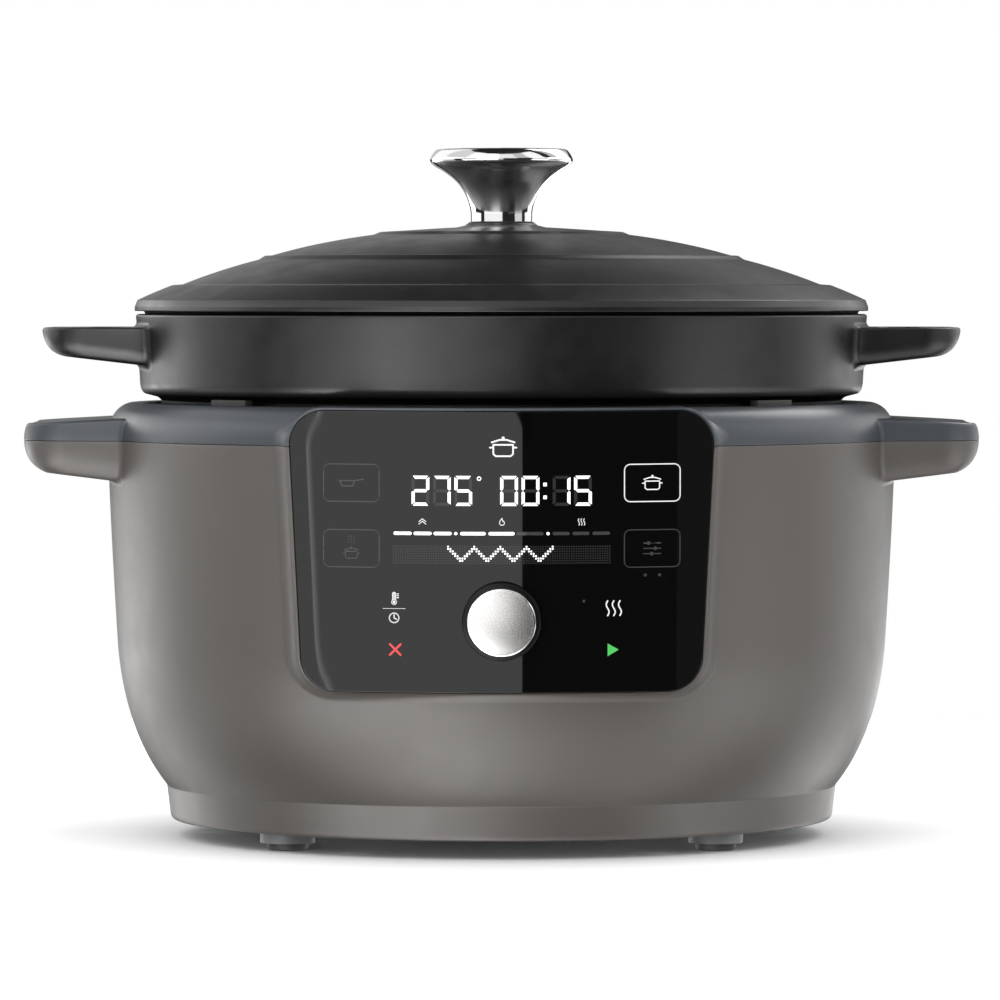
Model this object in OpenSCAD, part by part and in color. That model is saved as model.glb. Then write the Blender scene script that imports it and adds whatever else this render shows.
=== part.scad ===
// Countertop slow cooker with a lift-out cast-iron pot, a domed lid and a curved touch panel.
// Millimetres. +Z is up, the control panel faces -Y, and the origin lies on the table top
// in the middle of the object's box.

/* [Housing] */
// Radius of the housing at the seam under the top ring
body_r = 155.5; // [155:0.1:156]
// Height of the seam between the housing and the top ring
seam_z = 156.4; // [156:0.1:157]
// Height of the crease under which the housing curves inwards
crease_z = 74.2; // [73:0.1:75]
// Wall thickness of the moulded shells
shell_wall = 2.6; // [2.4:0.1:2.8]

/* [Pot] */
// Radius of the pot at its rim
pot_rim_r = 144.5; // [144.2:0.1:145]
// Height of the pot's rim
pot_rim_z = 205.7; // [205:0.1:206]
// Height of the pot's underside, which stands on the heating plate
pot_bottom_z = 86; // [85.5:0.1:86.5]
// Thickness of the pot's floor
pot_floor_t = 4.5; // [4:0.5:6]

/* [Lid] */
// Radius of the lid's rim
lid_r = 145; // [144.7:0.1:145.3]
// Thickness of the lid's casting
lid_wall = 3.7; // [3.5:0.1:4.4]
// Largest radius of the knob
knob_r = 28.3; // [28:0.1:29]
// Height of the knob's top face
knob_top_z = 271; // [270:0.5:272]

/* [Handles] */
// Reach of the housing's side handles from the axis
base_handle_x = 187.2; // [186:0.2:189]
// Half width of the housing's side handles at the root
base_handle_w = 49; // [46:0.5:51]
// Reach of the pot's loop handles from the axis
pot_handle_x = 180.3; // [179:0.1:182]
// Half width of the pot's loop handles at the root
pot_handle_w = 44; // [42:0.5:45]

/* [Control panel] */
// Half width of the glass at its top edge
panel_top_w = 80; // [79:0.1:81]
// Half width of the glass at its bottom edge
panel_bottom_w = 74.7; // [74:0.1:76]
// Radius of the glass outline's corners
panel_corner_r = 13; // [12:0.5:14]
// Forward lean of the glass at its top, in degrees
panel_tilt = 2.6; // [2.4:0.1:2.8]
// Radius of the glass's curve, seen from above
panel_curve_r = 300; // [290:5:310]
// Diameter of the dial's metal cap
dial_d = 25.7; // [25:0.1:26.5]

/* [Feet] */
// Distance of each foot from the middle, left and right
foot_x = 82.4; // [80:0.2:84]
// Distance of each foot from the middle, front and back
foot_y = 80; // [78:0.5:82]
// Diameter of the rubber foot pads
foot_pad_d = 15.8; // [14:0.2:17]

/* [Hidden] */

round_fn = 96;
small_fn = 32;
glass_fn = 360;

// Housing and ring heights and radii
base_bottom_z = 6.8;
foot_ring_r = 131.9;
foot_crease_r = 132.5;
foot_crease_z = 20;
crease_r = body_r - 3.8;
ring_top_z = 171;
ring_bore_r = 137;
ring_lip_r = 142.6;
ring_lip_z = 165.5;
ring_crown_r = 146.9;
ring_crown_z = 170.8;

// Pot profile
pot_neck_r = 134.6;
pot_neck_z = 172;
pot_band_z = 178.8;
pot_foot_r = 129.5;
pot_corner_r = 22;
pot_inner_rim_r = 137.5;
pot_wall = 3.9;
pot_handle_top_z = 200.5;

// Lid profile: three shallow steps that climb to the knob's boss
lid_rim_z = 206.9;
lid_boss_z = 241.6;
lid_skirt_z = 201.5;
lid_skirt_r = 136.9;
knob_bottom_z = 242;
screw_clear_r = 3.3;

// Inner liner and heating stack, from the bottom up
liner_t = 1;
liner_floor_z = 66;
liner_top_r = 138.6;
shield_z = 58;
shield_t = 0.8;
plate_bottom_z = 78;
plate_r = 104;
plate_bore_r = 14.5;
element_r = 82;
element_z = 75.8;
element_wire_r = 4;
element_gap_angle = 24;
element_pin_angle = element_gap_angle / 2 + 4;
element_pin_x = -element_r * cos(element_pin_angle);
element_pin_y = element_r * sin(element_pin_angle);
element_pin_low = 50;
stack_screw_r = 60;
stack_angles = [90, 210, 330];

// Temperature sensor
sensor_top_z = pot_bottom_z - 0.3;
sensor_cap_r = 13.5;
sensor_stem_r = 5;
guide_flange_z = 67;
guide_flange_t = 1.5;
spring_r = 9.5;
spring_wire_r = 0.6;
spring_turns = 5;

// Panel frame of reference: its origin is the dial's centre on the glass
panel_y = -153.5;
dial_z = 91.4;
panel_low = -27;
panel_high = 78.4;
panel_lip = 1.8;
lip_setback = 0.3;
glass_t = 2;
glass_gap = 0.4;
ledge_w = 4;
ledge_t = 2.5;
board_front = -13;
board_t = 1.6;
key_positions = [
    [-56.2, 51.5], [-56.2, 26.9], [56.4, 51.5], [56.4, 26.9],
    [-40.2, 4.4], [-39.8, -11], [41.6, 4.4], [41.5, -11]
];
display_box = [[-43, 19], [43, 58]];
display_front = -5.4;
board_screw_places = [[-62, -9], [62, -9], [-62, 64], [62, 64]];
buzzer_place = [20, -16];
chip_corner = [-27, -18];
dial_back = 1.1;
dial_front = 8;
skirt_r = 14.8;
skirt_front = 3.4;
shaft_r = 3;
shaft_back = -10.8;

// Power inlet at the back; its face is as far back as the dial reaches forward
inlet_z = 52;
inlet_y = -(panel_y - dial_front * cos(panel_tilt) - (dial_d / 2 - 0.5) * sin(panel_tilt));
inlet_flange = [31, 2, 25];
inlet_pod = [42, 36, 7];
inlet_mouth = [24.4, 16.8];
inlet_depth = 18;
inlet_screw_x = 18.2;

// Power board under the liner
board_z = 30;
power_board_box = [[-30, -48], [80, 42]];
cover_z = 9.6;
cover_t = 2.4;
cover_r = 128.6;
foot_boss_r = 10.5;
foot_pad_h = 2.7;
cover_screw_r = 116;
cover_screw_angles = [0, 60, 120, 180, 240, 300];
ring_screw_r = 147;
ring_screw_angles = [32, 148, 212, 328];
liner_screw_r = 140.6;
liner_screw_angles = [60, 120, 240, 300];

// Colours
taupe = [0.49, 0.47, 0.46];
blue_grey = [0.37, 0.40, 0.44];
enamel = [0.16, 0.16, 0.17];
board_green = [0.10, 0.32, 0.20];

// --- Curves and outlines -------------------------------------------------

function bezier(a, b, c, n) =
    [for (i = [0:n]) let (t = i / n) (1 - t) * (1 - t) * a + 2 * t * (1 - t) * b + t * t * c];

function arc(centre, r, from, to, n) =
    [for (i = [0:n]) let (a = from + (to - from) * i / n) centre + r * [cos(a), sin(a)]];

function unit(v) = v / norm(v);

// One polygon corner, rounded to radius r with n steps
function round_corner(before, corner, after, r, n) =
    let (
        u = unit(before - corner),
        v = unit(after - corner),
        half = acos(u * v) / 2,
        centre = corner + unit(u + v) * r / sin(half),
        from = atan2(-centre[1] + (corner + u * r / tan(half))[1],
                     -centre[0] + (corner + u * r / tan(half))[0]),
        to = atan2(-centre[1] + (corner + v * r / tan(half))[1],
                   -centre[0] + (corner + v * r / tan(half))[0]),
        turn = to - from > 180 ? to - from - 360 : to - from < -180 ? to - from + 360 : to - from
    )
    arc(centre, r, from, from + turn, n);

function rounded(points, r, n) =
    [for (i = [0:len(points) - 1])
        for (p = round_corner(points[(i + len(points) - 1) % len(points)], points[i],
                              points[(i + 1) % len(points)], r, n)) p];

function box_outline(w, h) = [[-w / 2, -h / 2], [w / 2, -h / 2], [w / 2, h / 2], [-w / 2, h / 2]];

// Points of a smooth curve through a route, ends doubled
function route_point(p, i, t) =
    let (
        a = p[max(i - 1, 0)],
        b = p[i],
        c = p[i + 1],
        d = p[min(i + 2, len(p) - 1)]
    )
    0.5 * (2 * b + (c - a) * t + (2 * a - 5 * b + 4 * c - d) * t * t
           + (3 * b - a - 3 * c + d) * t * t * t);

function smooth_route(p, steps) =
    concat([for (i = [0:len(p) - 2]) for (k = [0:steps - 1]) route_point(p, i, k / steps)],
           [p[len(p) - 1]]);

// Sweeps a closed 2D section along a path; ref is a direction the path never follows
module sweep(path, section, ref) {
    n = len(path);
    m = len(section);
    rings = [for (i = [0:n - 1])
        let (
            t = unit(path[min(i + 1, n - 1)] - path[max(i - 1, 0)]),
            side = unit(cross(t, ref)),
            up = cross(side, t)
        )
        for (s = section) path[i] + side * s[0] + up * s[1]];
    walls = [for (i = [0:n - 2]) for (j = [0:m - 1])
        let (k = (j + 1) % m)
        each [[i * m + j, (i + 1) * m + j, (i + 1) * m + k], [i * m + j, (i + 1) * m + k, i * m + k]]];
    first = [for (j = [0:m - 1]) j];
    last = [for (j = [m - 1:-1:0]) (n - 1) * m + j];
    polyhedron(rings, concat([first, last], walls), convexity = 6);
}

module tube(r_out, r_in, z0, z1, fn = small_fn) {
    translate([0, 0, z0]) difference() {
        cylinder(r = r_out, h = z1 - z0, $fn = fn);
        translate([0, 0, -1]) cylinder(r = r_in, h = z1 - z0 + 2, $fn = fn);
    }
}

module at_angles(angles, r) {
    for (a = angles) rotate([0, 0, a]) translate([r, 0, 0]) children();
}

module at_feet() {
    for (sx = [-1, 1], sy = [-1, 1]) translate([sx * foot_x, sy * foot_y, 0]) children();
}

// A pan-head screw: head from z_head up to z_seat, shank on to z_tip
module screw(head_r, shank_r, z_head, z_seat, z_tip) {
    difference() {
        union() {
            translate([0, 0, z_head]) cylinder(r = head_r, h = z_seat - z_head, $fn = small_fn);
            translate([0, 0, z_head]) cylinder(r = shank_r, h = z_tip - z_head, $fn = small_fn);
        }
        translate([0, 0, z_head - 1]) cylinder(r = head_r * 0.5, h = 1 + (z_seat - z_head) * 0.5, $fn = 6);
    }
}

// --- Outer form, shared by the housing and the top ring -------------------

// Body of revolution, drawn in by inset on every wall; a hollow one runs out of the bottom
module body_form(inset) {
    bottom = inset > 0 ? base_bottom_z - 1 : base_bottom_z;
    crown = [ring_crown_r - inset, ring_crown_z - inset];
    edge = inset > 0 ? [[foot_ring_r - inset, bottom]]
        : [[foot_ring_r - 1.6, bottom], [foot_ring_r - 0.5, bottom + 1], [foot_ring_r, bottom + 3.2]];
    rotate_extrude($fn = round_fn) polygon(concat(
        [[0, bottom]], edge,
        bezier([foot_crease_r - inset, foot_crease_z], [148.9 - inset, 39.3 + inset / 2],
               [crease_r - inset, crease_z], 10),
        bezier([crease_r - inset, crease_z], [body_r - 0.1 - inset, 135], [body_r - inset, seam_z], 4),
        bezier([body_r - inset, seam_z], [body_r - 0.1 - inset, 168.6 - inset], crown, 6),
        [[140, ring_top_z - inset], [0, ring_top_z - inset]]
    ));
}

function handle_front_profile(inset) = concat(
    [[120, 137 + inset]],
    bezier([177.5 - inset, 143.9 + inset], [base_handle_x - 0.3 - inset, 147.2 + inset],
           [base_handle_x - inset, 156.2], 6),
    bezier([base_handle_x - 0.6 - inset, 161.4 - inset], [base_handle_x - 0.8 - inset, 163.1 - inset],
           [base_handle_x - 2.6 - inset, 163.2 - inset], 3),
    [[120, 166.5 - inset]]
);

module handle_forms(inset) {
    w = base_handle_w - inset;
    tip = base_handle_x - inset;
    plan = rounded([[120, -w - 3], [tip, -w + 5], [tip, w - 5], [120, w + 3]], 20 - inset, 8);
    for (side = [0, 180]) rotate([0, 0, side]) intersection() {
        translate([0, 0, 130]) linear_extrude(45) polygon(plan);
        translate([0, 80, 0]) rotate([90, 0, 0]) linear_extrude(160) polygon(handle_front_profile(inset));
    }
}

module on_panel() {
    translate([0, panel_y, dial_z]) rotate([90 + panel_tilt, 0, 0]) children();
}

function panel_outline(grow) = rounded([
    [-panel_bottom_w - grow, panel_low - grow], [panel_bottom_w + grow, panel_low - grow],
    [panel_top_w + grow, panel_high + grow], [-panel_top_w - grow, panel_high + grow]
], panel_corner_r + grow, 6);

module panel_prism(grow, back, front) {
    translate([0, 0, back]) linear_extrude(front - back) polygon(panel_outline(grow));
}

// Everything behind the curved surface that lies depth behind the front of the glass
module behind_glass(depth) {
    translate([0, (panel_low + panel_high) / 2, -panel_curve_r]) rotate([90, 0, 0])
        cylinder(r = panel_curve_r - depth, h = 2 * (panel_high - panel_low), center = true, $fn = glass_fn);
}

module pod_form(inset, depth) {
    on_panel() intersection() {
        panel_prism(panel_lip - inset, -34, 3);
        behind_glass(depth);
    }
}

module glass_recess() {
    on_panel() difference() {
        panel_prism(glass_gap, -18, 3);
        behind_glass(glass_t + 0.05);
    }
    on_panel() panel_prism(-ledge_w, -40, 3);
}

module inlet_pod_form(inset) {
    translate([0, inlet_y - inlet_flange[1] - inset, inlet_z]) rotate([90, 0, 0])
        linear_extrude(30) polygon(rounded(box_outline(inlet_pod[0] - 2 * inset,
                                                       inlet_pod[1] - 2 * inset), inlet_pod[2] - inset, 5));
}

module outer_form() {
    body_form(0);
    handle_forms(0);
    pod_form(0, lip_setback);
}

module inner_form() {
    body_form(shell_wall);
    handle_forms(shell_wall);
    pod_form(shell_wall, glass_t + ledge_t);
}

module slab(z0, z1) {
    translate([-210, -210, z0]) cube([420, 420, z1 - z0]);
}

module housing() {
    color(taupe) difference() {
        union() {
            intersection() {
                difference() {
                    union() {
                        outer_form();
                        inlet_pod_form(0);
                    }
                    inner_form();
                    inlet_pod_form(shell_wall);
                }
                slab(0, seam_z);
            }
            // Screw bosses for the bottom cover, each with a rib to the wall
            at_angles(cover_screw_angles, cover_screw_r) {
                translate([0, 0, cover_z + cover_t]) cylinder(r = 4.5, h = 34, $fn = small_fn);
                translate([0, -1.2, cover_z + cover_t + 6]) cube([17, 2.4, 28]);
            }
            // Tabs that take the ring's screws
            at_angles(ring_screw_angles, ring_screw_r) translate([-5, -6, seam_z - 8]) cube([12, 12, 3]);
        }
        glass_recess();
        // Mouth for the power inlet, and pilot holes for its screws
        translate([0, inlet_y + 1, inlet_z]) rotate([90, 0, 0])
            linear_extrude(30) square([27.8, 20.6], center = true);
        for (sx = [-1, 1]) translate([sx * inlet_screw_x, inlet_y, inlet_z]) rotate([90, 0, 0])
            cylinder(r = 0.9, h = 10, $fn = small_fn);
        at_angles(cover_screw_angles, cover_screw_r)
            translate([0, 0, cover_z]) cylinder(r = 1.5, h = 20, $fn = small_fn);
        at_angles(ring_screw_angles, ring_screw_r)
            translate([0, 0, seam_z - 10]) cylinder(r = 1.8, h = 8, $fn = small_fn);
    }
}

module pad_blocks(z0, z1) {
    for (sx = [-1, 1], sy = [-1, 1]) rotate([0, 0, atan2(sy * 94, sx * 102.5)])
        translate([ring_bore_r + 0.6, -10, z0]) cube([4.2, 20, z1 - z0]);
}

module top_ring() {
    color(blue_grey) difference() {
        union() {
            intersection() {
                difference() {
                    outer_form();
                    inner_form();
                }
                slab(seam_z, ring_top_z + 2);
            }
            tube(ring_lip_r, ring_bore_r, ring_lip_z, ring_top_z - 1.5, round_fn);
            at_angles(ring_screw_angles, ring_screw_r)
                translate([0, 0, seam_z - 5]) cylinder(r = 4, h = 14.5, $fn = small_fn);
        }
        translate([0, 0, seam_z - 20]) cylinder(r = ring_bore_r, h = 60, $fn = round_fn);
        glass_recess();
        pad_blocks(ring_top_z - 1.5, ring_top_z + 3);
        at_angles(ring_screw_angles, ring_screw_r)
            translate([0, 0, seam_z - 6]) cylinder(r = 1.55, h = 12, $fn = small_fn);
        at_angles(liner_screw_angles, liner_screw_r)
            translate([0, 0, ring_lip_z - 1]) cylinder(r = 1.05, h = 5, $fn = small_fn);
    }
}

module pot_rest_pads() {
    color([0.12, 0.12, 0.13]) pad_blocks(ring_top_z - 1.5, ring_top_z + 2.1);
}

// --- Bottom cover, feet and fasteners --------------------------------------

module bottom_cover() {
    color([0.42, 0.43, 0.44]) difference() {
        union() {
            translate([0, 0, cover_z]) cylinder(r = cover_r, h = cover_t, $fn = round_fn);
            at_feet() translate([0, 0, foot_pad_h]) cylinder(r = foot_boss_r, h = 9, $fn = small_fn);
            for (x = [power_board_box[0][0] + 5, power_board_box[1][0] - 5],
                 y = [power_board_box[0][1] + 5, power_board_box[1][1] - 5])
                translate([x, y, cover_z + 1]) cylinder(r = 4, h = board_z - cover_z - 1, $fn = small_fn);
        }
        // Two banks of vent slots
        for (side = [-1, 1], i = [-4:4])
            translate([i * 7 - 1.4, side * 58 - 17, cover_z - 1]) cube([2.8, 34, cover_t + 2]);
        at_feet() translate([0, 0, 0]) cylinder(r = 4, h = 6.5, $fn = small_fn);
        at_angles(cover_screw_angles, cover_screw_r)
            translate([0, 0, cover_z - 1]) cylinder(r = 1.8, h = cover_t + 2, $fn = small_fn);
        for (x = [power_board_box[0][0] + 5, power_board_box[1][0] - 5],
             y = [power_board_box[0][1] + 5, power_board_box[1][1] - 5])
            translate([x, y, board_z - 12]) cylinder(r = 1.25, h = 20, $fn = small_fn);
    }
}

module foot_pads() {
    color([0.05, 0.05, 0.05]) at_feet() {
        cylinder(r = foot_pad_d / 2, h = foot_pad_h, $fn = small_fn);
        cylinder(r = 4, h = 6.5, $fn = small_fn);
    }
}

module cover_screws() {
    color("silver") at_angles(cover_screw_angles, cover_screw_r)
        screw(3.2, 1.5, cover_z - 2, cover_z, cover_z + 14);
}

module ring_screws() {
    color("silver") at_angles(ring_screw_angles, ring_screw_r)
        screw(3, 1.5, seam_z - 10.4, seam_z - 8, seam_z + 5);
}

module liner_screws() {
    color("silver") at_angles(liner_screw_angles, liner_screw_r)
        screw(1.9, 1, ring_lip_z - liner_t - 1.6, ring_lip_z - liner_t, ring_lip_z + 3.5);
}

// --- Liner and heating stack -------------------------------------------------

function liner_profile(inset) = concat(
    [[0, liner_floor_z + inset], [98, liner_floor_z + inset]],
    bezier([98, liner_floor_z + inset], [131 - inset, liner_floor_z + inset],
           [133.5 - inset, 104], 8),
    [[liner_top_r - inset, ring_lip_z - liner_t]]
);

module element_pin_places() {
    for (side = [-1, 1]) translate([element_pin_x, side * element_pin_y, 0]) children();
}

module inner_liner() {
    color([0.66, 0.67, 0.68]) difference() {
        union() {
            rotate_extrude($fn = round_fn)
                polygon(concat(liner_profile(0), [[0, ring_lip_z - liner_t]]));
            translate([0, 0, ring_lip_z - liner_t]) cylinder(r = 142.4, h = liner_t, $fn = round_fn);
        }
        rotate_extrude($fn = round_fn)
            polygon(concat(liner_profile(liner_t), [[liner_top_r - liner_t, ring_lip_z + 2],
                                                    [0, ring_lip_z + 2]]));
        translate([0, 0, liner_floor_z - 1]) cylinder(r = 8, h = 4, $fn = small_fn);
        at_angles(stack_angles, stack_screw_r)
            translate([0, 0, liner_floor_z - 1]) cylinder(r = 2.2, h = 4, $fn = small_fn);
        element_pin_places() translate([0, 0, liner_floor_z - 1]) cylinder(r = 5.05, h = 4, $fn = small_fn);
        at_angles(liner_screw_angles, liner_screw_r)
            translate([0, 0, ring_lip_z - 3]) cylinder(r = 1.2, h = 4, $fn = small_fn);
    }
}

module heating_plate() {
    color([0.62, 0.62, 0.63]) difference() {
        union() {
            rotate_extrude($fn = round_fn) polygon([
                [plate_bore_r, plate_bottom_z], [plate_r - 2, plate_bottom_z],
                [plate_r, plate_bottom_z + 2], [plate_r, pot_bottom_z - 1],
                [plate_r - 1, pot_bottom_z], [plate_bore_r, pot_bottom_z]
            ]);
            // Ridge that holds the element
            tube(element_r + 7, element_r - 7, element_z - 2.4, plate_bottom_z + 1, round_fn);
        }
        rotate_extrude($fn = round_fn)
            translate([element_r, element_z]) circle(r = element_wire_r + 0.1, $fn = small_fn);
        at_angles(stack_angles, stack_screw_r)
            translate([0, 0, plate_bottom_z - 1]) cylinder(r = 2.05, h = 6, $fn = small_fn);
    }
}

module heating_element() {
    color([0.35, 0.36, 0.37]) {
        rotate([0, 0, 180 + element_gap_angle / 2])
            rotate_extrude(angle = 360 - element_gap_angle, $fn = round_fn)
                translate([element_r, element_z]) circle(r = element_wire_r, $fn = small_fn);
        element_pin_places() translate([0, 0, element_pin_low])
            cylinder(r = 2.1, h = element_z - element_pin_low, $fn = small_fn);
    }
}

module element_bushings() {
    color([0.93, 0.92, 0.88]) element_pin_places() tube(5, 2.25, liner_floor_z - 3, liner_floor_z + 4);
}

module plate_spacers() {
    color([0.93, 0.92, 0.88]) at_angles(stack_angles, stack_screw_r)
        tube(5, 2.2, liner_floor_z + liner_t, plate_bottom_z);
}

module shield_spacers() {
    color("silver") at_angles(stack_angles, stack_screw_r)
        tube(4.5, 2.2, shield_z + shield_t, liner_floor_z);
}

module plate_screws() {
    color("silver") at_angles(stack_angles, stack_screw_r)
        screw(4, 2, shield_z - 2.8, shield_z, plate_bottom_z + 4.5);
}

module heat_shield() {
    color([0.75, 0.75, 0.76]) difference() {
        translate([0, 0, shield_z]) cylinder(r = 96, h = shield_t, $fn = round_fn);
        translate([0, 0, shield_z - 1]) cylinder(r = 18, h = 4, $fn = small_fn);
        at_angles(stack_angles, stack_screw_r)
            translate([0, 0, shield_z - 1]) cylinder(r = 2.2, h = 4, $fn = small_fn);
        element_pin_places() translate([0, 0, shield_z - 1]) cylinder(r = 7, h = 4, $fn = small_fn);
    }
}

module thermal_fuse() {
    color([0.85, 0.78, 0.55]) translate([38, 0, plate_bottom_z - 2.3]) {
        rotate([90, 0, 0]) cylinder(r = 2.2, h = 14, center = true, $fn = small_fn);
        for (s = [-1, 1]) translate([0, s * 11, 0]) rotate([90, 0, 0])
            cylinder(r = 0.6, h = 10, center = true, $fn = small_fn);
    }
}

// --- Temperature sensor -------------------------------------------------------

module sensor_guide() {
    color([0.3, 0.3, 0.31]) difference() {
        union() {
            tube(13, 6, guide_flange_z, guide_flange_z + guide_flange_t);
            tube(7.6, 5.08, 64, 72);
        }
        translate([0, 0, 60]) cylinder(r = 5.08, h = 20, $fn = small_fn);
    }
}

module sensor_plunger() {
    color([0.78, 0.78, 0.79]) {
        difference() {
            rotate_extrude($fn = 64) polygon([
                [0, 79.7], [sensor_cap_r, 79.7], [sensor_cap_r, sensor_top_z - 0.8],
                [sensor_cap_r - 0.8, sensor_top_z], [0, sensor_top_z]
            ]);
            translate([0, 0, 79]) cylinder(r = sensor_cap_r - 1.2, h = sensor_top_z - 79 - 1.2, $fn = 64);
        }
        translate([0, 0, 60]) cylinder(r = sensor_stem_r, h = sensor_top_z - 60.6, $fn = small_fn);
        translate([0, 0, 61.6]) cylinder(r = 6.6, h = 1, $fn = small_fn);
    }
}

module sensor_spring() {
    low = guide_flange_z + guide_flange_t + spring_wire_r;
    high = sensor_top_z - 1.2 - spring_wire_r;
    steps = 14 * spring_turns;
    coil = [for (i = [0:steps]) let (a = 360 * spring_turns * i / steps)
        [spring_r * cos(a), spring_r * sin(a), low + (high - low) * i / steps]];
    wire = [for (a = [0:45:315]) spring_wire_r * [cos(a), sin(a)]];
    color("silver") sweep(coil, wire, [0, 0, 1]);
}

// --- Pot and lid ----------------------------------------------------------------

pot_outside = concat(
    [[0, pot_bottom_z]],
    arc([pot_foot_r - pot_corner_r, pot_bottom_z + pot_corner_r], pot_corner_r, -90, 0, 8),
    [[pot_neck_r, pot_neck_z], [136, 173.1], [140.6, 174.3]],
    bezier([140.6, 174.3], [142.6, 174.9], [142.9, pot_band_z], 4),
    [[pot_rim_r - 0.3, 201.7], [pot_rim_r, pot_rim_z - 0.8], [pot_rim_r - 0.6, pot_rim_z]]
);

pot_inside = concat(
    [[0, pot_bottom_z + pot_floor_t]],
    arc([pot_foot_r - pot_corner_r, pot_bottom_z + pot_corner_r], pot_corner_r - pot_wall, -90, 0, 7),
    [[pot_neck_r - pot_wall - 0.3, 166]],
    bezier([pot_neck_r - pot_wall, 170], [131, 176], [134, 180], 4),
    bezier([134, 180], [pot_inner_rim_r - 0.5, 184.7], [pot_inner_rim_r - 0.2, 190], 4),
    [[pot_inner_rim_r, pot_rim_z + 1], [0, pot_rim_z + 1]]
);

module pot_handle_forms() {
    w = pot_handle_w;
    plan = rounded([[120, -w - 2], [pot_handle_x, -w + 7], [pot_handle_x, w - 7], [120, w + 2]], 20, 8);
    slot = rounded([[149.5, -29], [167.5, -27], [167.5, 27], [149.5, 29]], 8, 6);
    front = concat(
        [[120, 183.4]],
        bezier([170, 189.1], [178.6, 190.4], [pot_handle_x, 198.8], 6),
        bezier([pot_handle_x, 199.1], [pot_handle_x, pot_handle_top_z],
               [pot_handle_x - 1.5, pot_handle_top_z], 3),
        [[120, pot_handle_top_z]]
    );
    for (side = [0, 180]) rotate([0, 0, side]) difference() {
        intersection() {
            translate([0, 0, 170]) linear_extrude(40) polygon(plan);
            translate([0, 70, 0]) rotate([90, 0, 0]) linear_extrude(140) polygon(front);
        }
        translate([0, 0, 170]) linear_extrude(40) polygon(slot);
    }
}

module pot() {
    color(enamel) difference() {
        union() {
            rotate_extrude($fn = round_fn) polygon(concat(pot_outside, [[0, pot_rim_z]]));
            pot_handle_forms();
        }
        rotate_extrude($fn = round_fn) polygon(pot_inside);
    }
}

// The dome: each step is a sloped curve that ends in a low riser
lid_outside = concat(
    [[lid_r, lid_rim_z], [lid_r - 0.1, lid_rim_z + 1.8], [143.9, 211.2]],
    [[130, 217.1], [125.9, 217.4]],
    bezier([125.9, 217.4], [111.2, 223.3], [95.9, 227.2], 4),
    [[93.5, 228.7], [90.8, 228.8]],
    bezier([90.8, 228.8], [72.4, 234.2], [50.6, 237], 4),
    [[47.9, 238.1], [39, 238.6]],
    bezier([39, 238.6], [24, 239.6], [17.6, 239.9], 3),
    [[14.3, 240.7], [13.4, lid_boss_z], [0, lid_boss_z]]
);

lid_inside = concat(
    [[0, lid_skirt_z - 1], [lid_skirt_r - lid_wall, lid_skirt_z - 1], [lid_skirt_r - lid_wall, 208]],
    [[124, 217.5 - lid_wall]],
    bezier([120, 217.5 - lid_wall], [80, 234 - lid_wall], [18, 237.8 - lid_wall], 7),
    [[0, 237.8 - lid_wall]]
);

module lid() {
    color(enamel) difference() {
        rotate_extrude($fn = round_fn) polygon(concat(
            [[0, lid_skirt_z], [lid_skirt_r - 0.6, lid_skirt_z], [lid_skirt_r, lid_skirt_z + 0.8],
             [lid_skirt_r, pot_rim_z], [140.8, pot_rim_z], [141.4, lid_rim_z]],
            lid_outside
        ));
        rotate_extrude($fn = round_fn) polygon(lid_inside);
        translate([0, 0, 220]) cylinder(r = screw_clear_r, h = 30, $fn = small_fn);
    }
}

module lid_knob() {
    top = knob_top_z;
    color([0.85, 0.85, 0.86]) difference() {
        rotate_extrude($fn = 64) polygon(concat(
            [[0, knob_bottom_z], [12.1, knob_bottom_z], [12.1, 245]],
            bezier([12.4, 247.5], [14.2, 259.5], [24.4, 262.9], 7),
            bezier([26, 263.7], [knob_r, 265], [knob_r, top - 4.2], 3),
            bezier([knob_r - 0.3, top - 3.5], [27.2, top - 1.6], [25.5, top - 0.6], 3),
            [[23.5, top - 0.2], [20, top], [0, top]]
        ));
        translate([0, 0, knob_bottom_z - 1]) cylinder(r = 3, h = 16, $fn = small_fn);
    }
}

module knob_washer() {
    color([0.08, 0.08, 0.09]) tube(13, screw_clear_r, lid_boss_z, knob_bottom_z);
}

module knob_screw() {
    color("silver") screw(6, 3, 229.4, 237.8 - lid_wall, knob_bottom_z + 13);
}

// --- Control panel ------------------------------------------------------------------

module control_glass() {
    color([0.07, 0.07, 0.08]) on_panel() difference() {
        intersection() {
            panel_prism(0, -18, 2);
            behind_glass(0);
        }
        behind_glass(glass_t);
        translate([0, 0, -10]) cylinder(r = 4.6, h = 20, $fn = small_fn);
    }
}

// Plan of the frame: the display's window, and a round hole for the encoder and for each touch pad
module panel_frame_plan() {
    a = display_box[0] - [0.4, 0.4];
    b = display_box[1] + [0.4, 0.4];
    difference() {
        polygon(panel_outline(-ledge_w - 0.3));
        translate(a) square(b - a);
        circle(r = 9.6, $fn = small_fn);
        for (k = key_positions) translate(k) circle(r = 4.6, $fn = small_fn);
        translate(buzzer_place) circle(r = 6.4, $fn = small_fn);
        translate(chip_corner - [1, 1]) square([14, 12]);
        for (s = board_screw_places) translate(s) circle(r = 0.95, $fn = small_fn);
    }
}

module panel_frame() {
    color([0.13, 0.13, 0.14]) on_panel() intersection() {
        translate([0, 0, board_front]) linear_extrude(-board_front) panel_frame_plan();
        behind_glass(glass_t + 0.1);
    }
}

module display_module() {
    a = display_box[0];
    b = display_box[1];
    color([0.2, 0.21, 0.23]) on_panel() translate([a[0], a[1], board_front])
        cube([b[0] - a[0], b[1] - a[1], display_front - board_front]);
}

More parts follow.
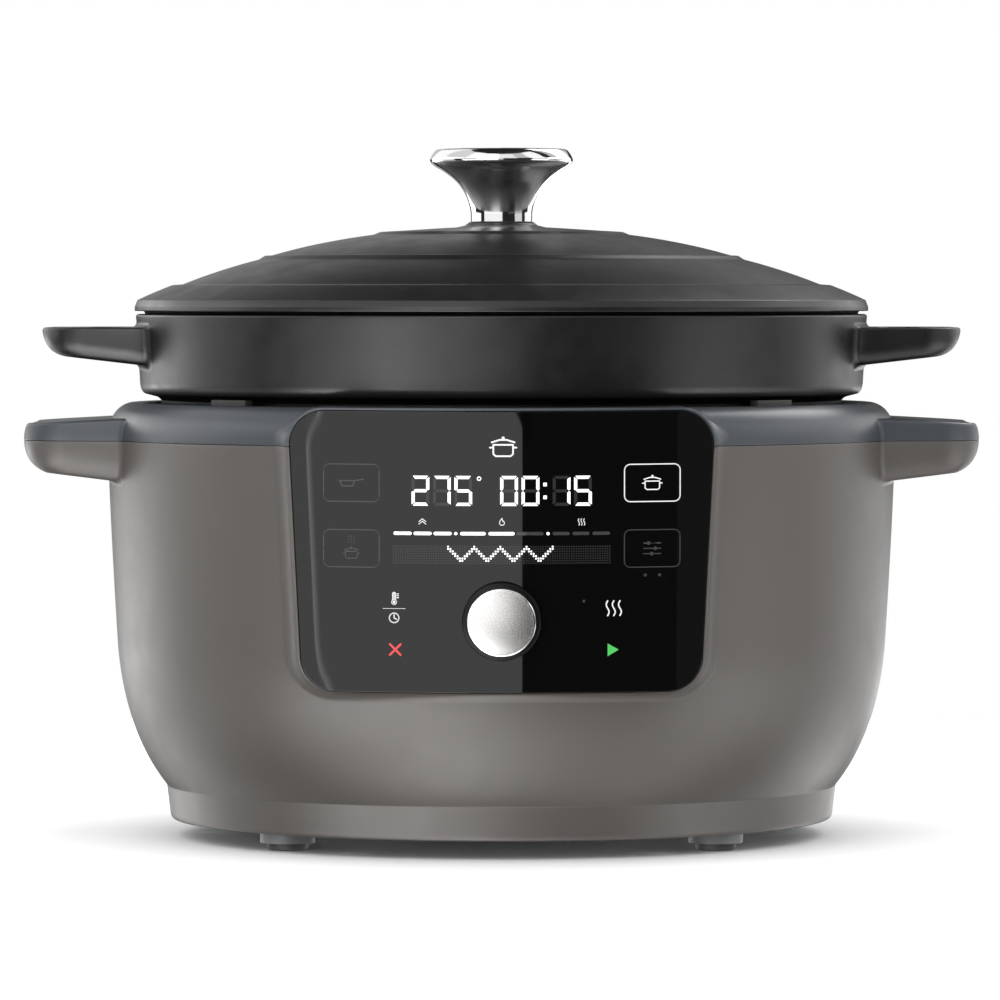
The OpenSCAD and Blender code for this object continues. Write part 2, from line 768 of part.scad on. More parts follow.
module control_board() {
    color(board_green) on_panel() difference() {
        translate([-67, -22, board_front - board_t]) cube([134, 92, board_t]);
        for (s = board_screw_places)
            translate([s[0], s[1], board_front - 5]) cylinder(r = 1.2, h = 10, $fn = small_fn);
    }
}

module controller_chip() {
    color([0.1, 0.1, 0.1]) on_panel() translate([chip_corner[0], chip_corner[1], board_front])
        cube([12, 10, 1.6]);
}

// Conductive pads between the board and the glass, one under each touch key
module touch_pads() {
    color([0.25, 0.25, 0.26]) on_panel() for (k = key_positions) {
        reach = glass_t + panel_curve_r - sqrt(panel_curve_r * panel_curve_r - pow(abs(k[0]) + 4, 2)) + 0.3;
        translate([k[0], k[1], board_front]) cylinder(r = 4, h = -board_front - reach, $fn = small_fn);
    }
}

module buzzer() {
    color([0.1, 0.1, 0.11]) on_panel() translate([buzzer_place[0], buzzer_place[1], board_front])
        difference() {
        cylinder(r = 6, h = 5.5, $fn = small_fn);
        translate([0, 0, 4]) cylinder(r = 1, h = 2, $fn = small_fn);
    }
}

module board_screws() {
    color("silver") on_panel() for (s = board_screw_places)
        translate([s[0], s[1], 0])
            screw(2, 0.95, board_front - board_t - 1.4, board_front - board_t, board_front + 1);
}

module encoder_body() {
    color([0.5, 0.52, 0.55]) on_panel() difference() {
        union() {
            translate([-6.5, -6.5, board_front]) cube([13, 13, 7.5]);
            translate([0, 0, board_front + 7]) cylinder(r = 4.2, h = 3.2, $fn = small_fn);
        }
        translate([0, 0, board_front + 0.6]) cylinder(r = 5, h = 5.6, $fn = small_fn);
        translate([0, 0, board_front + 5]) cylinder(r = shaft_r + 0.08, h = 8, $fn = small_fn);
    }
}

module encoder_slider() {
    color([0.8, 0.8, 0.7]) on_panel() tube(4.6, shaft_r + 0.05, shaft_back, shaft_back + 2.4);
}

module encoder_shaft() {
    color("silver") on_panel() translate([0, 0, shaft_back])
        cylinder(r = shaft_r, h = 6.4 - shaft_back, $fn = small_fn);
}

module dial_skirt() {
    color([0.06, 0.06, 0.07]) on_panel() difference() {
        union() {
            rotate_extrude($fn = 64) polygon([
                [0, dial_back], [skirt_r - 0.4, dial_back], [skirt_r, dial_back + 0.4],
                [skirt_r, skirt_front - 0.6], [skirt_r - 0.6, skirt_front], [0, skirt_front]
            ]);
            translate([0, 0, skirt_front - 1]) cylinder(r = 6, h = 4.4, $fn = small_fn);
        }
        translate([0, 0, 0]) cylinder(r = shaft_r, h = 6.4, $fn = small_fn);
    }
}

module dial_cap() {
    r = dial_d / 2;
    color([0.82, 0.81, 0.8]) on_panel() difference() {
        rotate_extrude($fn = 64) polygon([
            [0, skirt_front], [r, skirt_front], [r, dial_front - 0.5], [r - 0.5, dial_front], [0, dial_front]
        ]);
        translate([0, 0, skirt_front - 1]) cylinder(r = r - 1.4, h = dial_front - skirt_front, $fn = 64);
    }
}

// --- Power electronics ----------------------------------------------------------------

module board_block(x, y, w, d, h) {
    translate([x, y, board_z + board_t]) cube([w, d, h]);
}

module power_board() {
    a = power_board_box[0];
    b = power_board_box[1];
    color(board_green) difference() {
        translate([a[0], a[1], board_z]) cube([b[0] - a[0], b[1] - a[1], board_t]);
        for (x = [a[0] + 5, b[0] - 5], y = [a[1] + 5, b[1] - 5])
            translate([x, y, board_z - 1]) cylinder(r = 1.6, h = 4, $fn = small_fn);
    }
}

module relay() {
    color([0.15, 0.3, 0.55]) board_block(-20, -10, 30, 14, 16);
}

module transformer() {
    color([0.75, 0.65, 0.2]) {
        board_block(34, -34, 30, 8, 20);
        board_block(34, -14, 30, 8, 20);
        board_block(38, -26, 22, 12, 20);
    }
}

module capacitors() {
    color([0.12, 0.12, 0.3]) for (x = [14, 38])
        translate([x, 22, board_z + board_t]) cylinder(r = 8, h = 20, $fn = small_fn);
}

module power_board_screws() {
    a = power_board_box[0];
    b = power_board_box[1];
    top = board_z + board_t;
    color("silver") for (x = [a[0] + 5, b[0] - 5], y = [a[1] + 5, b[1] - 5])
        translate([x, y, 2 * top]) mirror([0, 0, 1]) screw(2.6, 1.25, top - 1.8, top, top + 10);
}

// --- Power inlet ------------------------------------------------------------------------

module inlet_frame() {
    translate([0, inlet_y, inlet_z]) rotate([90, 0, 0]) children();
}

module power_inlet() {
    ears = rounded(box_outline(inlet_flange[0] + 12, inlet_flange[2] - 6), 4, 4);
    color([0.09, 0.09, 0.1]) inlet_frame() difference() {
        union() {
            linear_extrude(inlet_flange[1]) polygon(ears);
            linear_extrude(inlet_flange[1]) square([inlet_flange[0], inlet_flange[2]], center = true);
            linear_extrude(24) square([27.6, 20.4], center = true);
        }
        translate([0, 0, -1]) linear_extrude(inlet_depth + 1) polygon(rounded(
            [[-inlet_mouth[0] / 2, -inlet_mouth[1] / 2], [inlet_mouth[0] / 2, -inlet_mouth[1] / 2],
             [inlet_mouth[0] / 2, inlet_mouth[1] / 2 - 4], [inlet_mouth[0] / 2 - 5, inlet_mouth[1] / 2],
             [5 - inlet_mouth[0] / 2, inlet_mouth[1] / 2], [-inlet_mouth[0] / 2, inlet_mouth[1] / 2 - 4]],
            1, 3));
        for (sx = [-1, 1]) translate([sx * inlet_screw_x, 0, -1]) {
            cylinder(r = 1.2, h = 5, $fn = small_fn);
            cylinder(r = 2, h = 1.9, $fn = small_fn);
        }
        for (p = inlet_pin_places) translate([p[0] - 1, p[1] - 2, inlet_depth - 2]) cube([2, 4, 10]);
    }
}

inlet_pin_places = [[-7, 0.4], [7, 0.4], [0, 4]];

module inlet_pins() {
    color([0.8, 0.78, 0.6]) inlet_frame() for (p = inlet_pin_places)
        translate([p[0] - 1, p[1] - 2, 3]) cube([2, 4, 27]);
}

module inlet_screws() {
    color("silver") inlet_frame() for (sx = [-1, 1]) translate([sx * inlet_screw_x, 0, 0])
        screw(1.9, 0.9, 0, 0.9, 8);
}

// --- Leads inside the housing ---------------------------------------------------------------

round_lead = [for (a = [0:45:315]) 1.5 * [cos(a), sin(a)]];
flat_lead = [[-8, -0.5], [8, -0.5], [8, 0.5], [-8, 0.5]];

// Each lead starts and ends on a short straight, square to the face that it meets
function straight(p, dir) = [p, p + 2.5 * dir, p + 5 * dir];
function straight_in(p, dir) = [p - 5 * dir, p - 2.5 * dir, p];

lead_gap = 0.05;
board_top_z = board_z + board_t + lead_gap;
pin_end_z = element_pin_low - lead_gap;
inlet_pin_end_y = inlet_y - 30 - lead_gap;

heater_route_a = concat(
    straight([element_pin_x, element_pin_y, pin_end_z], [0, 0, -1]),
    [[-72, 17, 39], [-58, 8, 37], [-44, 0, 39]],
    straight_in([-20 - lead_gap, -2, 39], [1, 0, 0])
);
heater_route_b = concat(
    straight([element_pin_x, -element_pin_y, pin_end_z], [0, 0, -1]),
    [[-72, -23, 39], [-54, -26, 40], [-34, -28, 43]],
    straight_in([-24, -28, board_top_z], [0, 0, -1])
);
inlet_routes = [
    concat(straight([-7, inlet_pin_end_y, inlet_z + 0.4], [0, -1, 0]),
           [[-5, 108, 48], [-1, 76, 45], [3, 50, 44]],
           straight_in([4, 38, board_top_z], [0, 0, -1])),
    concat(straight([7, inlet_pin_end_y, inlet_z + 0.4], [0, -1, 0]),
           [[12, 108, 48], [27, 76, 45], [48, 50, 44]],
           straight_in([54, 38, board_top_z], [0, 0, -1])),
    concat(straight([0, inlet_pin_end_y, inlet_z + 4], [0, -1, 0]),
           [[-10, 108, 52], [-28, 84, 48], [-43, 58, 47]],
           straight_in([-48, 48, shield_z - lead_gap], [0, 0, 1]))
];
ribbon_route = concat(
    straight([0, -138, 74], [0, 1, 0]), [[0, -128, 67], [8, -114, 54], [24, -88, 45], [38, -58, 44]],
    straight_in([40, -44, board_top_z], [0, 0, -1])
);

module heater_leads() {
    color([0.85, 0.83, 0.78]) {
        sweep(smooth_route(heater_route_a, 5), round_lead, [0.1, 1, 0.3]);
        sweep(smooth_route(heater_route_b, 5), round_lead, [0.1, 1, 0.3]);
    }
}

module inlet_leads() {
    color([0.5, 0.3, 0.15]) for (r = inlet_routes) sweep(smooth_route(r, 5), round_lead, [1, 0.1, 0.2]);
}

module panel_ribbon() {
    color([0.75, 0.76, 0.78]) sweep(smooth_route(ribbon_route, 5), flat_lead, [-0.1, 0.5, 1]);
}

housing();
top_ring();
pot_rest_pads();
bottom_cover();
foot_pads();
cover_screws();
ring_screws();
liner_screws();
inner_liner();
heating_plate();
heating_element();
element_bushings();
plate_spacers();
shield_spacers();
plate_screws();
heat_shield();
thermal_fuse();
sensor_guide();
sensor_plunger();
sensor_spring();
pot();
lid();
lid_knob();
knob_washer();
knob_screw();
control_glass();
panel_frame();
display_module();
control_board();
controller_chip();
touch_pads();
buzzer();
board_screws();
encoder_body();
encoder_slider();
encoder_shaft();
dial_skirt();
dial_cap();
power_board();
relay();
transformer();
capacitors();
power_board_screws();
power_inlet();
inlet_pins();
inlet_screws();
heater_leads();
inlet_leads();
panel_ribbon();
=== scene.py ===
import math

import bmesh
import bpy
import numpy as np
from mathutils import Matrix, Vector


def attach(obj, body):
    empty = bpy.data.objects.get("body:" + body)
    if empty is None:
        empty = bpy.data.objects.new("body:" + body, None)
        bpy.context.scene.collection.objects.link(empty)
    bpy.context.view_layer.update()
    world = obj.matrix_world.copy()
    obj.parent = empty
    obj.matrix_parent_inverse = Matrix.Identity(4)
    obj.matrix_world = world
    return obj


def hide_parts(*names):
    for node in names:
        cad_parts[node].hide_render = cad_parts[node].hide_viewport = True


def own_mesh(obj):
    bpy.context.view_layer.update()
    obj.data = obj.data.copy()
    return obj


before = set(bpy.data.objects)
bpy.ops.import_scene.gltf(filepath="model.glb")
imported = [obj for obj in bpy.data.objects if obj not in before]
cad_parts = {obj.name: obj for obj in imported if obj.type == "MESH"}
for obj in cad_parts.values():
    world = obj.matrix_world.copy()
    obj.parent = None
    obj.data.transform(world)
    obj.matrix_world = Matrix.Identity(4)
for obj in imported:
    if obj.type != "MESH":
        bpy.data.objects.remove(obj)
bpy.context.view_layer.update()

MM = 0.001

# The object's main sizes, in millimetres
SEAM_Z = 156.4            # where the housing meets the top ring
SEAM_GAP = 0.09           # half the dark gap there
WALL = 2.6                # the housing's wall
BODY_TOP = 170.9          # the highest level at which the round body has an outside
POD_TOP = 171.06          # the flat top of the surround of the glass
PANEL_Y, DIAL_Z = -153.5, 91.4     # the dial's axis meets the glass here
TILT = math.radians(2.6)  # how far the glass leans back
GLASS_R = 300.0           # the radius that the glass is bent to
GLASS_T = 2.0             # its thickness
SHAFT_HOLE_R = 4.6        # the hole for the dial's shaft


# --- Curves and outlines (millimetres) ---------------------------------------

def bezier(a, b, c, n):
    """n + 1 points of a quadratic curve."""
    a, b, c = (np.array(p, float) for p in (a, b, c))
    t = np.linspace(0, 1, n + 1)[:, None]
    return ((1 - t) ** 2 * a + 2 * t * (1 - t) * b + t * t * c).tolist()


def arc(centre, radius, start, end, n):
    """n + 1 points of an arc, from and to an angle in degrees."""
    angles = np.radians(np.linspace(start, end, n + 1))
    return [[centre[0] + radius * math.cos(a), centre[1] + radius * math.sin(a)] for a in angles]


def soften(points, radius, n, closed, min_turn):
    """Rounds the corners of a polyline that turn by more than min_turn degrees."""
    pts = [np.array(p, float) for p in points]
    out = []
    count = len(pts)
    for i, p in enumerate(pts):
        if not closed and i in (0, count - 1):
            out.append(p.tolist())
            continue
        u, v = pts[i - 1] - p, pts[(i + 1) % count] - p
        lu, lv = np.linalg.norm(u), np.linalg.norm(v)
        if lu < 1e-9 or lv < 1e-9:
            continue
        u, v = u / lu, v / lv
        turn = math.pi - math.acos(max(-1, min(1, float(u @ v))))
        if math.degrees(turn) < min_turn:
            out.append(p.tolist())
            continue
        reach = min(radius * math.tan(turn / 2), 0.45 * lu, 0.45 * lv)
        out += bezier(p + u * reach, p, p + v * reach, n)
    return out


def rounded_path(corners, radius, arc_n, step):
    """A closed outline with rounded corners: its points and their outward normals, evenly close together."""
    pts, normals = [], []
    corners = [np.array(c, float) for c in corners]
    count = len(corners)
    area = sum(a[0] * b[1] - b[0] * a[1] for a, b in zip(corners, corners[1:] + corners[:1]))
    sign = 1 if area > 0 else -1
    ends = []
    for i, p in enumerate(corners):
        u = corners[i - 1] - p
        v = corners[(i + 1) % count] - p
        u, v = u / np.linalg.norm(u), v / np.linalg.norm(v)
        half = math.acos(float(u @ v)) / 2
        reach = radius / math.tan(half)
        centre = p + (u + v) / np.linalg.norm(u + v) * radius / math.sin(half)
        a0 = math.atan2(*(p + u * reach - centre)[::-1])
        a1 = math.atan2(*(p + v * reach - centre)[::-1])
        turn = (a1 - a0 + math.pi) % (2 * math.pi) - math.pi
        ends.append((centre, a0, turn, p + u * reach, p + v * reach))
    for i, (centre, a0, turn, _, end) in enumerate(ends):
        for k in range(arc_n + 1):
            a = a0 + turn * k / arc_n
            n = np.array([math.cos(a), math.sin(a)])
            pts.append(centre + radius * n)
            normals.append(n)
        line = ends[(i + 1) % count][3] - end
        length = np.linalg.norm(line)
        pieces = max(1, int(length / step))
        n = np.array([line[1], -line[0]]) / length * sign
        for k in range(1, pieces):
            pts.append(end + line * k / pieces)
            normals.append(n)
    return np.array(pts), np.array(normals)


def box_corners(x, y, w, h):
    """The four corners of a rectangle about (x, y)."""
    return [[x - w / 2, y - h / 2], [x + w / 2, y - h / 2], [x + w / 2, y + h / 2], [x - w / 2, y + h / 2]]


def by_angle(pts, centre, angles):
    """A closed outline seen from centre, sampled at the given angles: points and outward normals."""
    d = pts - np.array(centre, float)
    a = np.arctan2(d[:, 1], d[:, 0])
    order = np.argsort(a)
    a, r = a[order], np.hypot(d[:, 0], d[:, 1])[order]
    a = np.concatenate([a - 2 * math.pi, a, a + 2 * math.pi])
    r = np.concatenate([r, r, r])
    radius = np.interp(angles, a, r)
    out = np.array(centre) + np.stack([radius * np.cos(angles), radius * np.sin(angles)], 1)
    tangent = np.roll(out, -1, 0) - np.roll(out, 1, 0)
    normals = np.stack([tangent[:, 1], -tangent[:, 0]], 1)
    return out, normals / np.linalg.norm(normals, axis=1)[:, None]


# --- Meshes -----------------------------------------------------------------

def loft(rings, closed=True):
    """A surface through rings of equal length, each a closed loop. closed joins the last ring to the
    first, and a ring of one point is a pole."""
    verts, rows, faces = [], [], []
    for ring in rings:
        rows.append(range(len(verts), len(verts) + len(ring)))
        verts += [tuple(float(x) for x in p) for p in ring]
    pairs = list(zip(rows, rows[1:])) + ([(rows[-1], rows[0])] if closed else [])
    for a, b in pairs:
        n = max(len(a), len(b))
        for j in range(n):
            k = (j + 1) % n
            if len(a) == 1 and len(b) == 1:
                break
            if len(a) == 1:
                faces.append((a[0], b[k], b[j]))
            elif len(b) == 1:
                faces.append((a[j], a[k], b[0]))
            else:
                faces.append((a[j], a[k], b[k], b[j]))
    return verts, faces


def revolve(profile, n=256, closed=True):
    """Turns an (r, z) profile about the Z axis."""
    angles = np.linspace(0, 2 * math.pi, n, endpoint=False)
    c, s = np.cos(angles), np.sin(angles)
    rings = []
    for r, z in profile:
        rings.append([(0.0, 0.0, z)] if r < 1e-6 else list(zip(r * c, r * s, [z] * n)))
    return loft(rings, closed)


def mesh_of(*parts):
    """One mesh, in metres, from several (verts, faces) parts in millimetres."""
    verts, faces = [], []
    for v, f in parts:
        base = len(verts)
        verts += [(x * MM, y * MM, z * MM) for x, y, z in v]
        faces += [tuple(i + base for i in face) for face in f]
    mesh = bpy.data.meshes.new("part")
    mesh.from_pydata(verts, [], faces)
    bm = bmesh.new()
    bm.from_mesh(mesh)
    bmesh.ops.remove_doubles(bm, verts=bm.verts, dist=1e-7)
    bmesh.ops.recalc_face_normals(bm, faces=bm.faces)
    bm.to_mesh(mesh)
    bm.free()
    return mesh


def joined(meshes):
    """Several meshes as one."""
    bm = bmesh.new()
    for mesh in meshes:
        bm.from_mesh(mesh)
    mesh = bpy.data.meshes.new("joined")
    bm.to_mesh(mesh)
    bm.free()
    return mesh


def minus(mesh, *cutters):
    """Cuts closed meshes out of a mesh."""
    o = bpy.data.objects.new("cut_work", mesh)
    bpy.context.scene.collection.objects.link(o)
    extra = []
    for cutter in cutters:
        c = bpy.data.objects.new("cutter", cutter)
        bpy.context.scene.collection.objects.link(c)
        extra.append(c)
        m = o.modifiers.new("cut", "BOOLEAN")
        m.operation = "DIFFERENCE"
        m.solver = "EXACT"
        m.object = c
    bpy.context.view_layer.update()
    made = bpy.data.meshes.new_from_object(o.evaluated_get(bpy.context.evaluated_depsgraph_get()))
    for x in [o, *extra]:
        bpy.data.objects.remove(x)
    return made


SEAM_ROUND = 0.18
# How the edge turns in at the seam: (down, inset)
SEAM_LIP = [(0.09, 0.02), (0.15, 0.07), (SEAM_ROUND, 0.18), (SEAM_ROUND, 1.6)]


def part_at_seam(mesh, above):
    """Keeps the part of a mesh above or below the seam, its edge softly rounded to leave a thin dark gap."""
    sign = 1 if above else -1
    level = (SEAM_Z + sign * (SEAM_GAP + SEAM_ROUND)) * MM
    bm = bmesh.new()
    bm.from_mesh(mesh)
    bmesh.ops.bisect_plane(bm, geom=bm.verts[:] + bm.edges[:] + bm.faces[:], plane_co=(0, 0, level),
                           plane_no=(0, 0, 1), clear_inner=above, clear_outer=not above, dist=1e-7)
    bm.normal_update()
    edges = [e for e in bm.edges
             if len(e.link_faces) == 1 and all(abs(v.co.z - level) < 1e-6 for v in e.verts)]
    inward = {}
    for e in edges:
        for v in e.verts:
            n = Vector((v.normal.x, v.normal.y, 0))
            inward[v] = -n.normalized() if n.length > 1e-6 else Vector((0, 0, 0))
    base = {v: v.co.copy() for v in inward}
    source = {v: v for v in inward}
    for down, inset in SEAM_LIP:
        made = bmesh.ops.extrude_edge_only(bm, edges=edges)["geom"]
        new_verts = [g for g in made if isinstance(g, bmesh.types.BMVert)]
        old = set(source)
        next_source = {}
        for v in new_verts:
            mates = [e.other_vert(v) for e in v.link_edges if e.other_vert(v) in old]
            root = source[mates[0]]
            next_source[v] = root
            v.co = base[root] + inward[root] * (inset * MM)
            v.co.z = level - sign * down * MM
        source = next_source
        edges = [g for g in made if isinstance(g, bmesh.types.BMEdge) and all(v in source for v in g.verts)]
    out = bpy.data.meshes.new("half")
    bm.to_mesh(out)
    bm.free()
    return out


def piece(name, mesh, material, body, replaces=(), angle=32):
    """One visible piece that rides on a CAD body. Edges sharper than angle stay sharp."""
    for p in mesh.polygons:
        p.use_smooth = True
    mesh.set_sharp_from_angle(angle=math.radians(angle))
    mesh.name = name
    mesh.materials.clear()
    mesh.materials.append(material)
    o = bpy.data.objects.new(name, mesh)
    bpy.context.scene.collection.objects.link(o)
    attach(o, body)
    if replaces:
        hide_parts(*replaces)
    return o


# --- Materials ----------------------------------------------------------------

def material(name, colour, rough, metallic=0.0, mottle=0.05, rough_vary=0.04, bumps=(), specular=0.5,
             wear=0.0, emission=0.0, scale=40.0, turned=None):
    """A procedural surface in object coordinates. bumps holds (noise scale a metre, height in metres,
    detail), and turned holds a lathe's marks about the Z axis, (pitch in millimetres, height in metres)."""
    m = bpy.data.materials.new(name)
    m.use_nodes = True
    nodes, links = m.node_tree.nodes, m.node_tree.links
    shader = nodes["Principled BSDF"]
    shader.inputs["Metallic"].default_value = metallic
    shader.inputs["Specular IOR Level"].default_value = specular
    coords = nodes.new("ShaderNodeTexCoord")

    def made(kind, *wires, **values):
        """A node with its inputs set and wired; _ in a name stands for a space."""
        node = nodes.new(kind)
        if kind == "ShaderNodeMix":
            node.data_type = "RGBA"
        for key, value in values.items():
            node.inputs[key.replace("_", " ")].default_value = value
        for output, key in wires:
            links.new(output, node.inputs[key])
        return node

    def noise(size, detail):
        node = made("ShaderNodeTexNoise", (coords.outputs["Object"], "Vector"), Scale=size, Detail=detail)
        return node.outputs["Fac"]

    def spread(value, low, high):
        """Noise stretched over its usual range, to run from low to high."""
        return made("ShaderNodeMapRange", (value, "Value"), From_Min=0.3, From_Max=0.7, To_Min=low,
                    To_Max=high).outputs["Result"]

    colour_out = made("ShaderNodeMix", (spread(noise(scale, 6.0), 0, 1), "Factor"),
                      A=[c * (1 - mottle) for c in colour] + [1],
                      B=[min(1, c * (1 + mottle)) for c in colour] + [1]).outputs["Result"]
    if wear:
        geometry = nodes.new("ShaderNodeNewGeometry")
        edge = made("ShaderNodeMapRange", (geometry.outputs["Pointiness"], "Value"), From_Min=0.53,
                    From_Max=0.62, To_Max=wear)
        colour_out = made("ShaderNodeMix", (edge.outputs["Result"], "Factor"), (colour_out, "A"),
                          B=[min(1, c * 1.6 + 0.02) for c in colour] + [1]).outputs["Result"]
    links.new(colour_out, shader.inputs["Base Color"])
    links.new(spread(noise(scale * 2.3, 5.0), max(0.01, rough - rough_vary), rough + rough_vary),
              shader.inputs["Roughness"])
    if emission:
        links.new(colour_out, shader.inputs["Emission Color"])
        shader.inputs["Emission Strength"].default_value = emission
    reliefs = []
    if turned:
        pitch, height = turned
        rings = made("ShaderNodeTexWave", (coords.outputs["Object"], "Vector"), Scale=0.1 / (pitch * MM),
                     Distortion=0.4, Detail=2.0)
        rings.wave_type = "RINGS"
        rings.rings_direction = "Z"
        reliefs.append((rings.outputs["Fac"], height))
    reliefs += [(noise(size, detail), height) for size, height, detail in bumps]
    normal = None
    for relief, height in reliefs:
        bump = made("ShaderNodeBump", (relief, "Height"), Strength=1.0, Distance=height)
        if normal:
            links.new(normal, bump.inputs["Normal"])
        normal = bump.outputs["Normal"]
    if normal:
        links.new(normal, shader.inputs["Normal"])
    return m


taupe = material("taupe_plastic", (0.070, 0.0625, 0.0575), 0.40, mottle=0.02, rough_vary=0.02,
                 bumps=[(1500, 0.000012, 2), (60, 0.00002, 2)], wear=0.05)
blue_grey = material("blue_grey_plastic", (0.036, 0.042, 0.050), 0.40, mottle=0.02, rough_vary=0.02,
                     bumps=[(1500, 0.000012, 2), (60, 0.00002, 2)], wear=0.05)
enamel = material("charcoal_enamel", (0.0052, 0.0052, 0.0053), 0.36, mottle=0.12, rough_vary=0.04,
                  bumps=[(700, 0.00003, 3), (90, 0.00006, 3)], wear=0.12)
chrome = material("polished_chrome", (0.80, 0.80, 0.81), 0.085, metallic=1.0, mottle=0.01, rough_vary=0.015,
                  bumps=[(400, 0.0000015, 2)])
glass = material("black_glass", (0.002, 0.002, 0.0021), 0.02, mottle=0.03, rough_vary=0.006,
                 bumps=[(30, 0.000001, 2)])
dial_metal = material("satin_dial", (0.97, 0.955, 0.94), 0.25, metallic=1.0, mottle=0.004, rough_vary=0.004,
                      bumps=[(900, 0.0000003, 2)])
dial_black = material("dial_black", (0.004, 0.004, 0.004), 0.34, mottle=0.1, rough_vary=0.04, specular=0.16,
                      bumps=[(900, 0.00001, 2)])
black_plastic = material("black_plastic", (0.018, 0.018, 0.019), 0.38, mottle=0.08, rough_vary=0.05,
                         bumps=[(900, 0.00001, 2)], wear=0.08)
rubber = material("black_rubber", (0.02, 0.02, 0.02), 0.62, mottle=0.15, rough_vary=0.06,
                  bumps=[(500, 0.00003, 4)])
cover_plastic = material("cover_plastic", (0.16, 0.162, 0.165), 0.5, mottle=0.04,
                         bumps=[(900, 0.00002, 3)], wear=0.08)
steel = material("zinc_steel", (0.55, 0.55, 0.56), 0.3, metallic=1.0, mottle=0.05, rough_vary=0.08,
                 bumps=[(300, 0.00001, 3)], wear=0.1)
sheet_metal = material("liner_aluminium", (0.60, 0.60, 0.61), 0.36, metallic=1.0, mottle=0.04,
                       rough_vary=0.07, bumps=[(240, 0.00001, 3)], turned=(1.2, 0.000006))
cast_alu = material("cast_aluminium", (0.50, 0.50, 0.51), 0.42, metallic=1.0, mottle=0.06, rough_vary=0.08,
                    bumps=[(500, 0.00002, 4)], turned=(1.6, 0.00001), wear=0.1)
ceramic = material("ceramic", (0.78, 0.75, 0.69), 0.6, mottle=0.05, bumps=[(600, 0.00002, 3)])
board = material("circuit_board", (0.03, 0.13, 0.07), 0.3, mottle=0.12, rough_vary=0.06,
                 bumps=[(260, 0.00004, 3)])
brass = material("brass", (0.72, 0.53, 0.25), 0.28, metallic=1.0, mottle=0.05, rough_vary=0.06,
                 bumps=[(400, 0.000008, 3)])
sleeve = material("woven_sleeve", (0.60, 0.58, 0.52), 0.8, mottle=0.2, scale=900,
                  bumps=[(1400, 0.0002, 1)])
lit_white = material("print_lit", (0.86, 0.86, 0.86), 0.05, mottle=0.01, emission=0.75)
soft_white = material("print_soft", (0.60, 0.60, 0.60), 0.05, mottle=0.01, emission=0.35)
dim_white = material("print_dim", (0.042, 0.042, 0.042), 0.05, mottle=0.05)
faint_white = material("print_faint", (0.024, 0.024, 0.024), 0.05, mottle=0.05)
lit_red = material("print_red", (0.62, 0.045, 0.05), 0.05, mottle=0.01, emission=0.45)
lit_green = material("print_green", (0.06, 0.36, 0.08), 0.05, mottle=0.01, emission=0.4)


# --- Housing and top ring ------------------------------------------------------

HOUSING_CURVE = (
    bezier([129.8, 6.8], [130.9, 6.9], [131.15, 9.2], 6)
    + bezier([132.5, 20], [148.6, 40.2], [151.7, 74.2], 40)
    + bezier([151.7, 74.2], [155.4, 135], [155.5, SEAM_Z], 24)[1:]
    + bezier([155.5, SEAM_Z], [155.4, 168.6], [146.9, 170.8], 24)[1:]
    + [[140, 171]]
)
curve = np.array(HOUSING_CURVE)


def body_r(z):
    """Radius of the housing and ring at a height."""
    return np.interp(z, curve[:, 1], curve[:, 0])


def body_y(x, z):
    """How far the round body reaches forward or back at x and z."""
    return np.sqrt(np.maximum(body_r(z) ** 2 - np.asarray(x) ** 2, 1.0))


def body_front(x, z):
    """y of the round body's front at x and z; above the body it goes straight on up."""
    return -body_y(x, np.minimum(z, BODY_TOP))


def seam_lip(above):
    """The rounded edge at the seam, from the outside to the level cut."""
    sign = 1 if above else -1
    r, z = float(body_r(SEAM_Z + 0.3 * sign)), SEAM_Z + SEAM_GAP * sign
    return [[r, z + SEAM_ROUND * sign], [r - 0.02, z + 0.09 * sign], [r - 0.07, z + 0.03 * sign],
            [r - SEAM_ROUND, z]]


def housing_profile():
    outer = [p for p in HOUSING_CURVE if p[1] < SEAM_Z - 0.6]
    lip = seam_lip(above=False)
    inner = [[float(body_r(z)) - WALL, z] for z in np.linspace(SEAM_Z - SEAM_GAP, 24, 24)]
    return soften(outer, 0.8, 4, closed=False, min_turn=8) + lip + inner + [[129.3, 20], [128.9, 6.8]]


def ring_profile():
    lip = seam_lip(above=True)[::-1]
    outer = [p for p in HOUSING_CURVE if p[1] > SEAM_Z + 0.6]
    top = soften(outer + [[137.8, 170.9], [137.0, 169.8]], 1.2, 5, closed=False, min_turn=8)
    return lip + top + [[137.0, 166.2], [137.4, 165.5], [142.6, 165.5], [142.6, 168.2], [146.5, 168.0],
                        [151.2, 166.3], [152.8, 162.5], [152.9, SEAM_Z + SEAM_GAP]]


def panel_to_world(x, up, out):
    """From the panel's own frame (x, up the glass, out of the glass) to the row frame."""
    x, up, out = (np.asarray(v, float) for v in (x, up, out))
    y = PANEL_Y - up * math.sin(TILT) - out * math.cos(TILT)
    z = DIAL_Z + up * math.cos(TILT) - out * math.sin(TILT)
    return np.stack(np.broadcast_arrays(x, y, z), -1)


def glass_front(x):
    """The glass's curve: how far its front lies behind the dial's middle."""
    return np.sqrt(GLASS_R ** 2 - np.asarray(x, float) ** 2) - GLASS_R


PANEL_CORNERS = [[-74.7, -27], [74.7, -27], [80, 78.4], [-80, 78.4]]
panel_pts, panel_n = rounded_path(PANEL_CORNERS, 13, 18, 2.2)
panel_angles = np.arctan2(panel_pts[:, 1], panel_pts[:, 0])


def panel_ring(grow, out):
    """A loop round the panel, grow outside the glass's edge and out in front of the glass's curve."""
    p = panel_pts + panel_n * np.reshape(grow, (-1, 1))
    return panel_to_world(p[:, 0], p[:, 1], glass_front(p[:, 0]) + out)


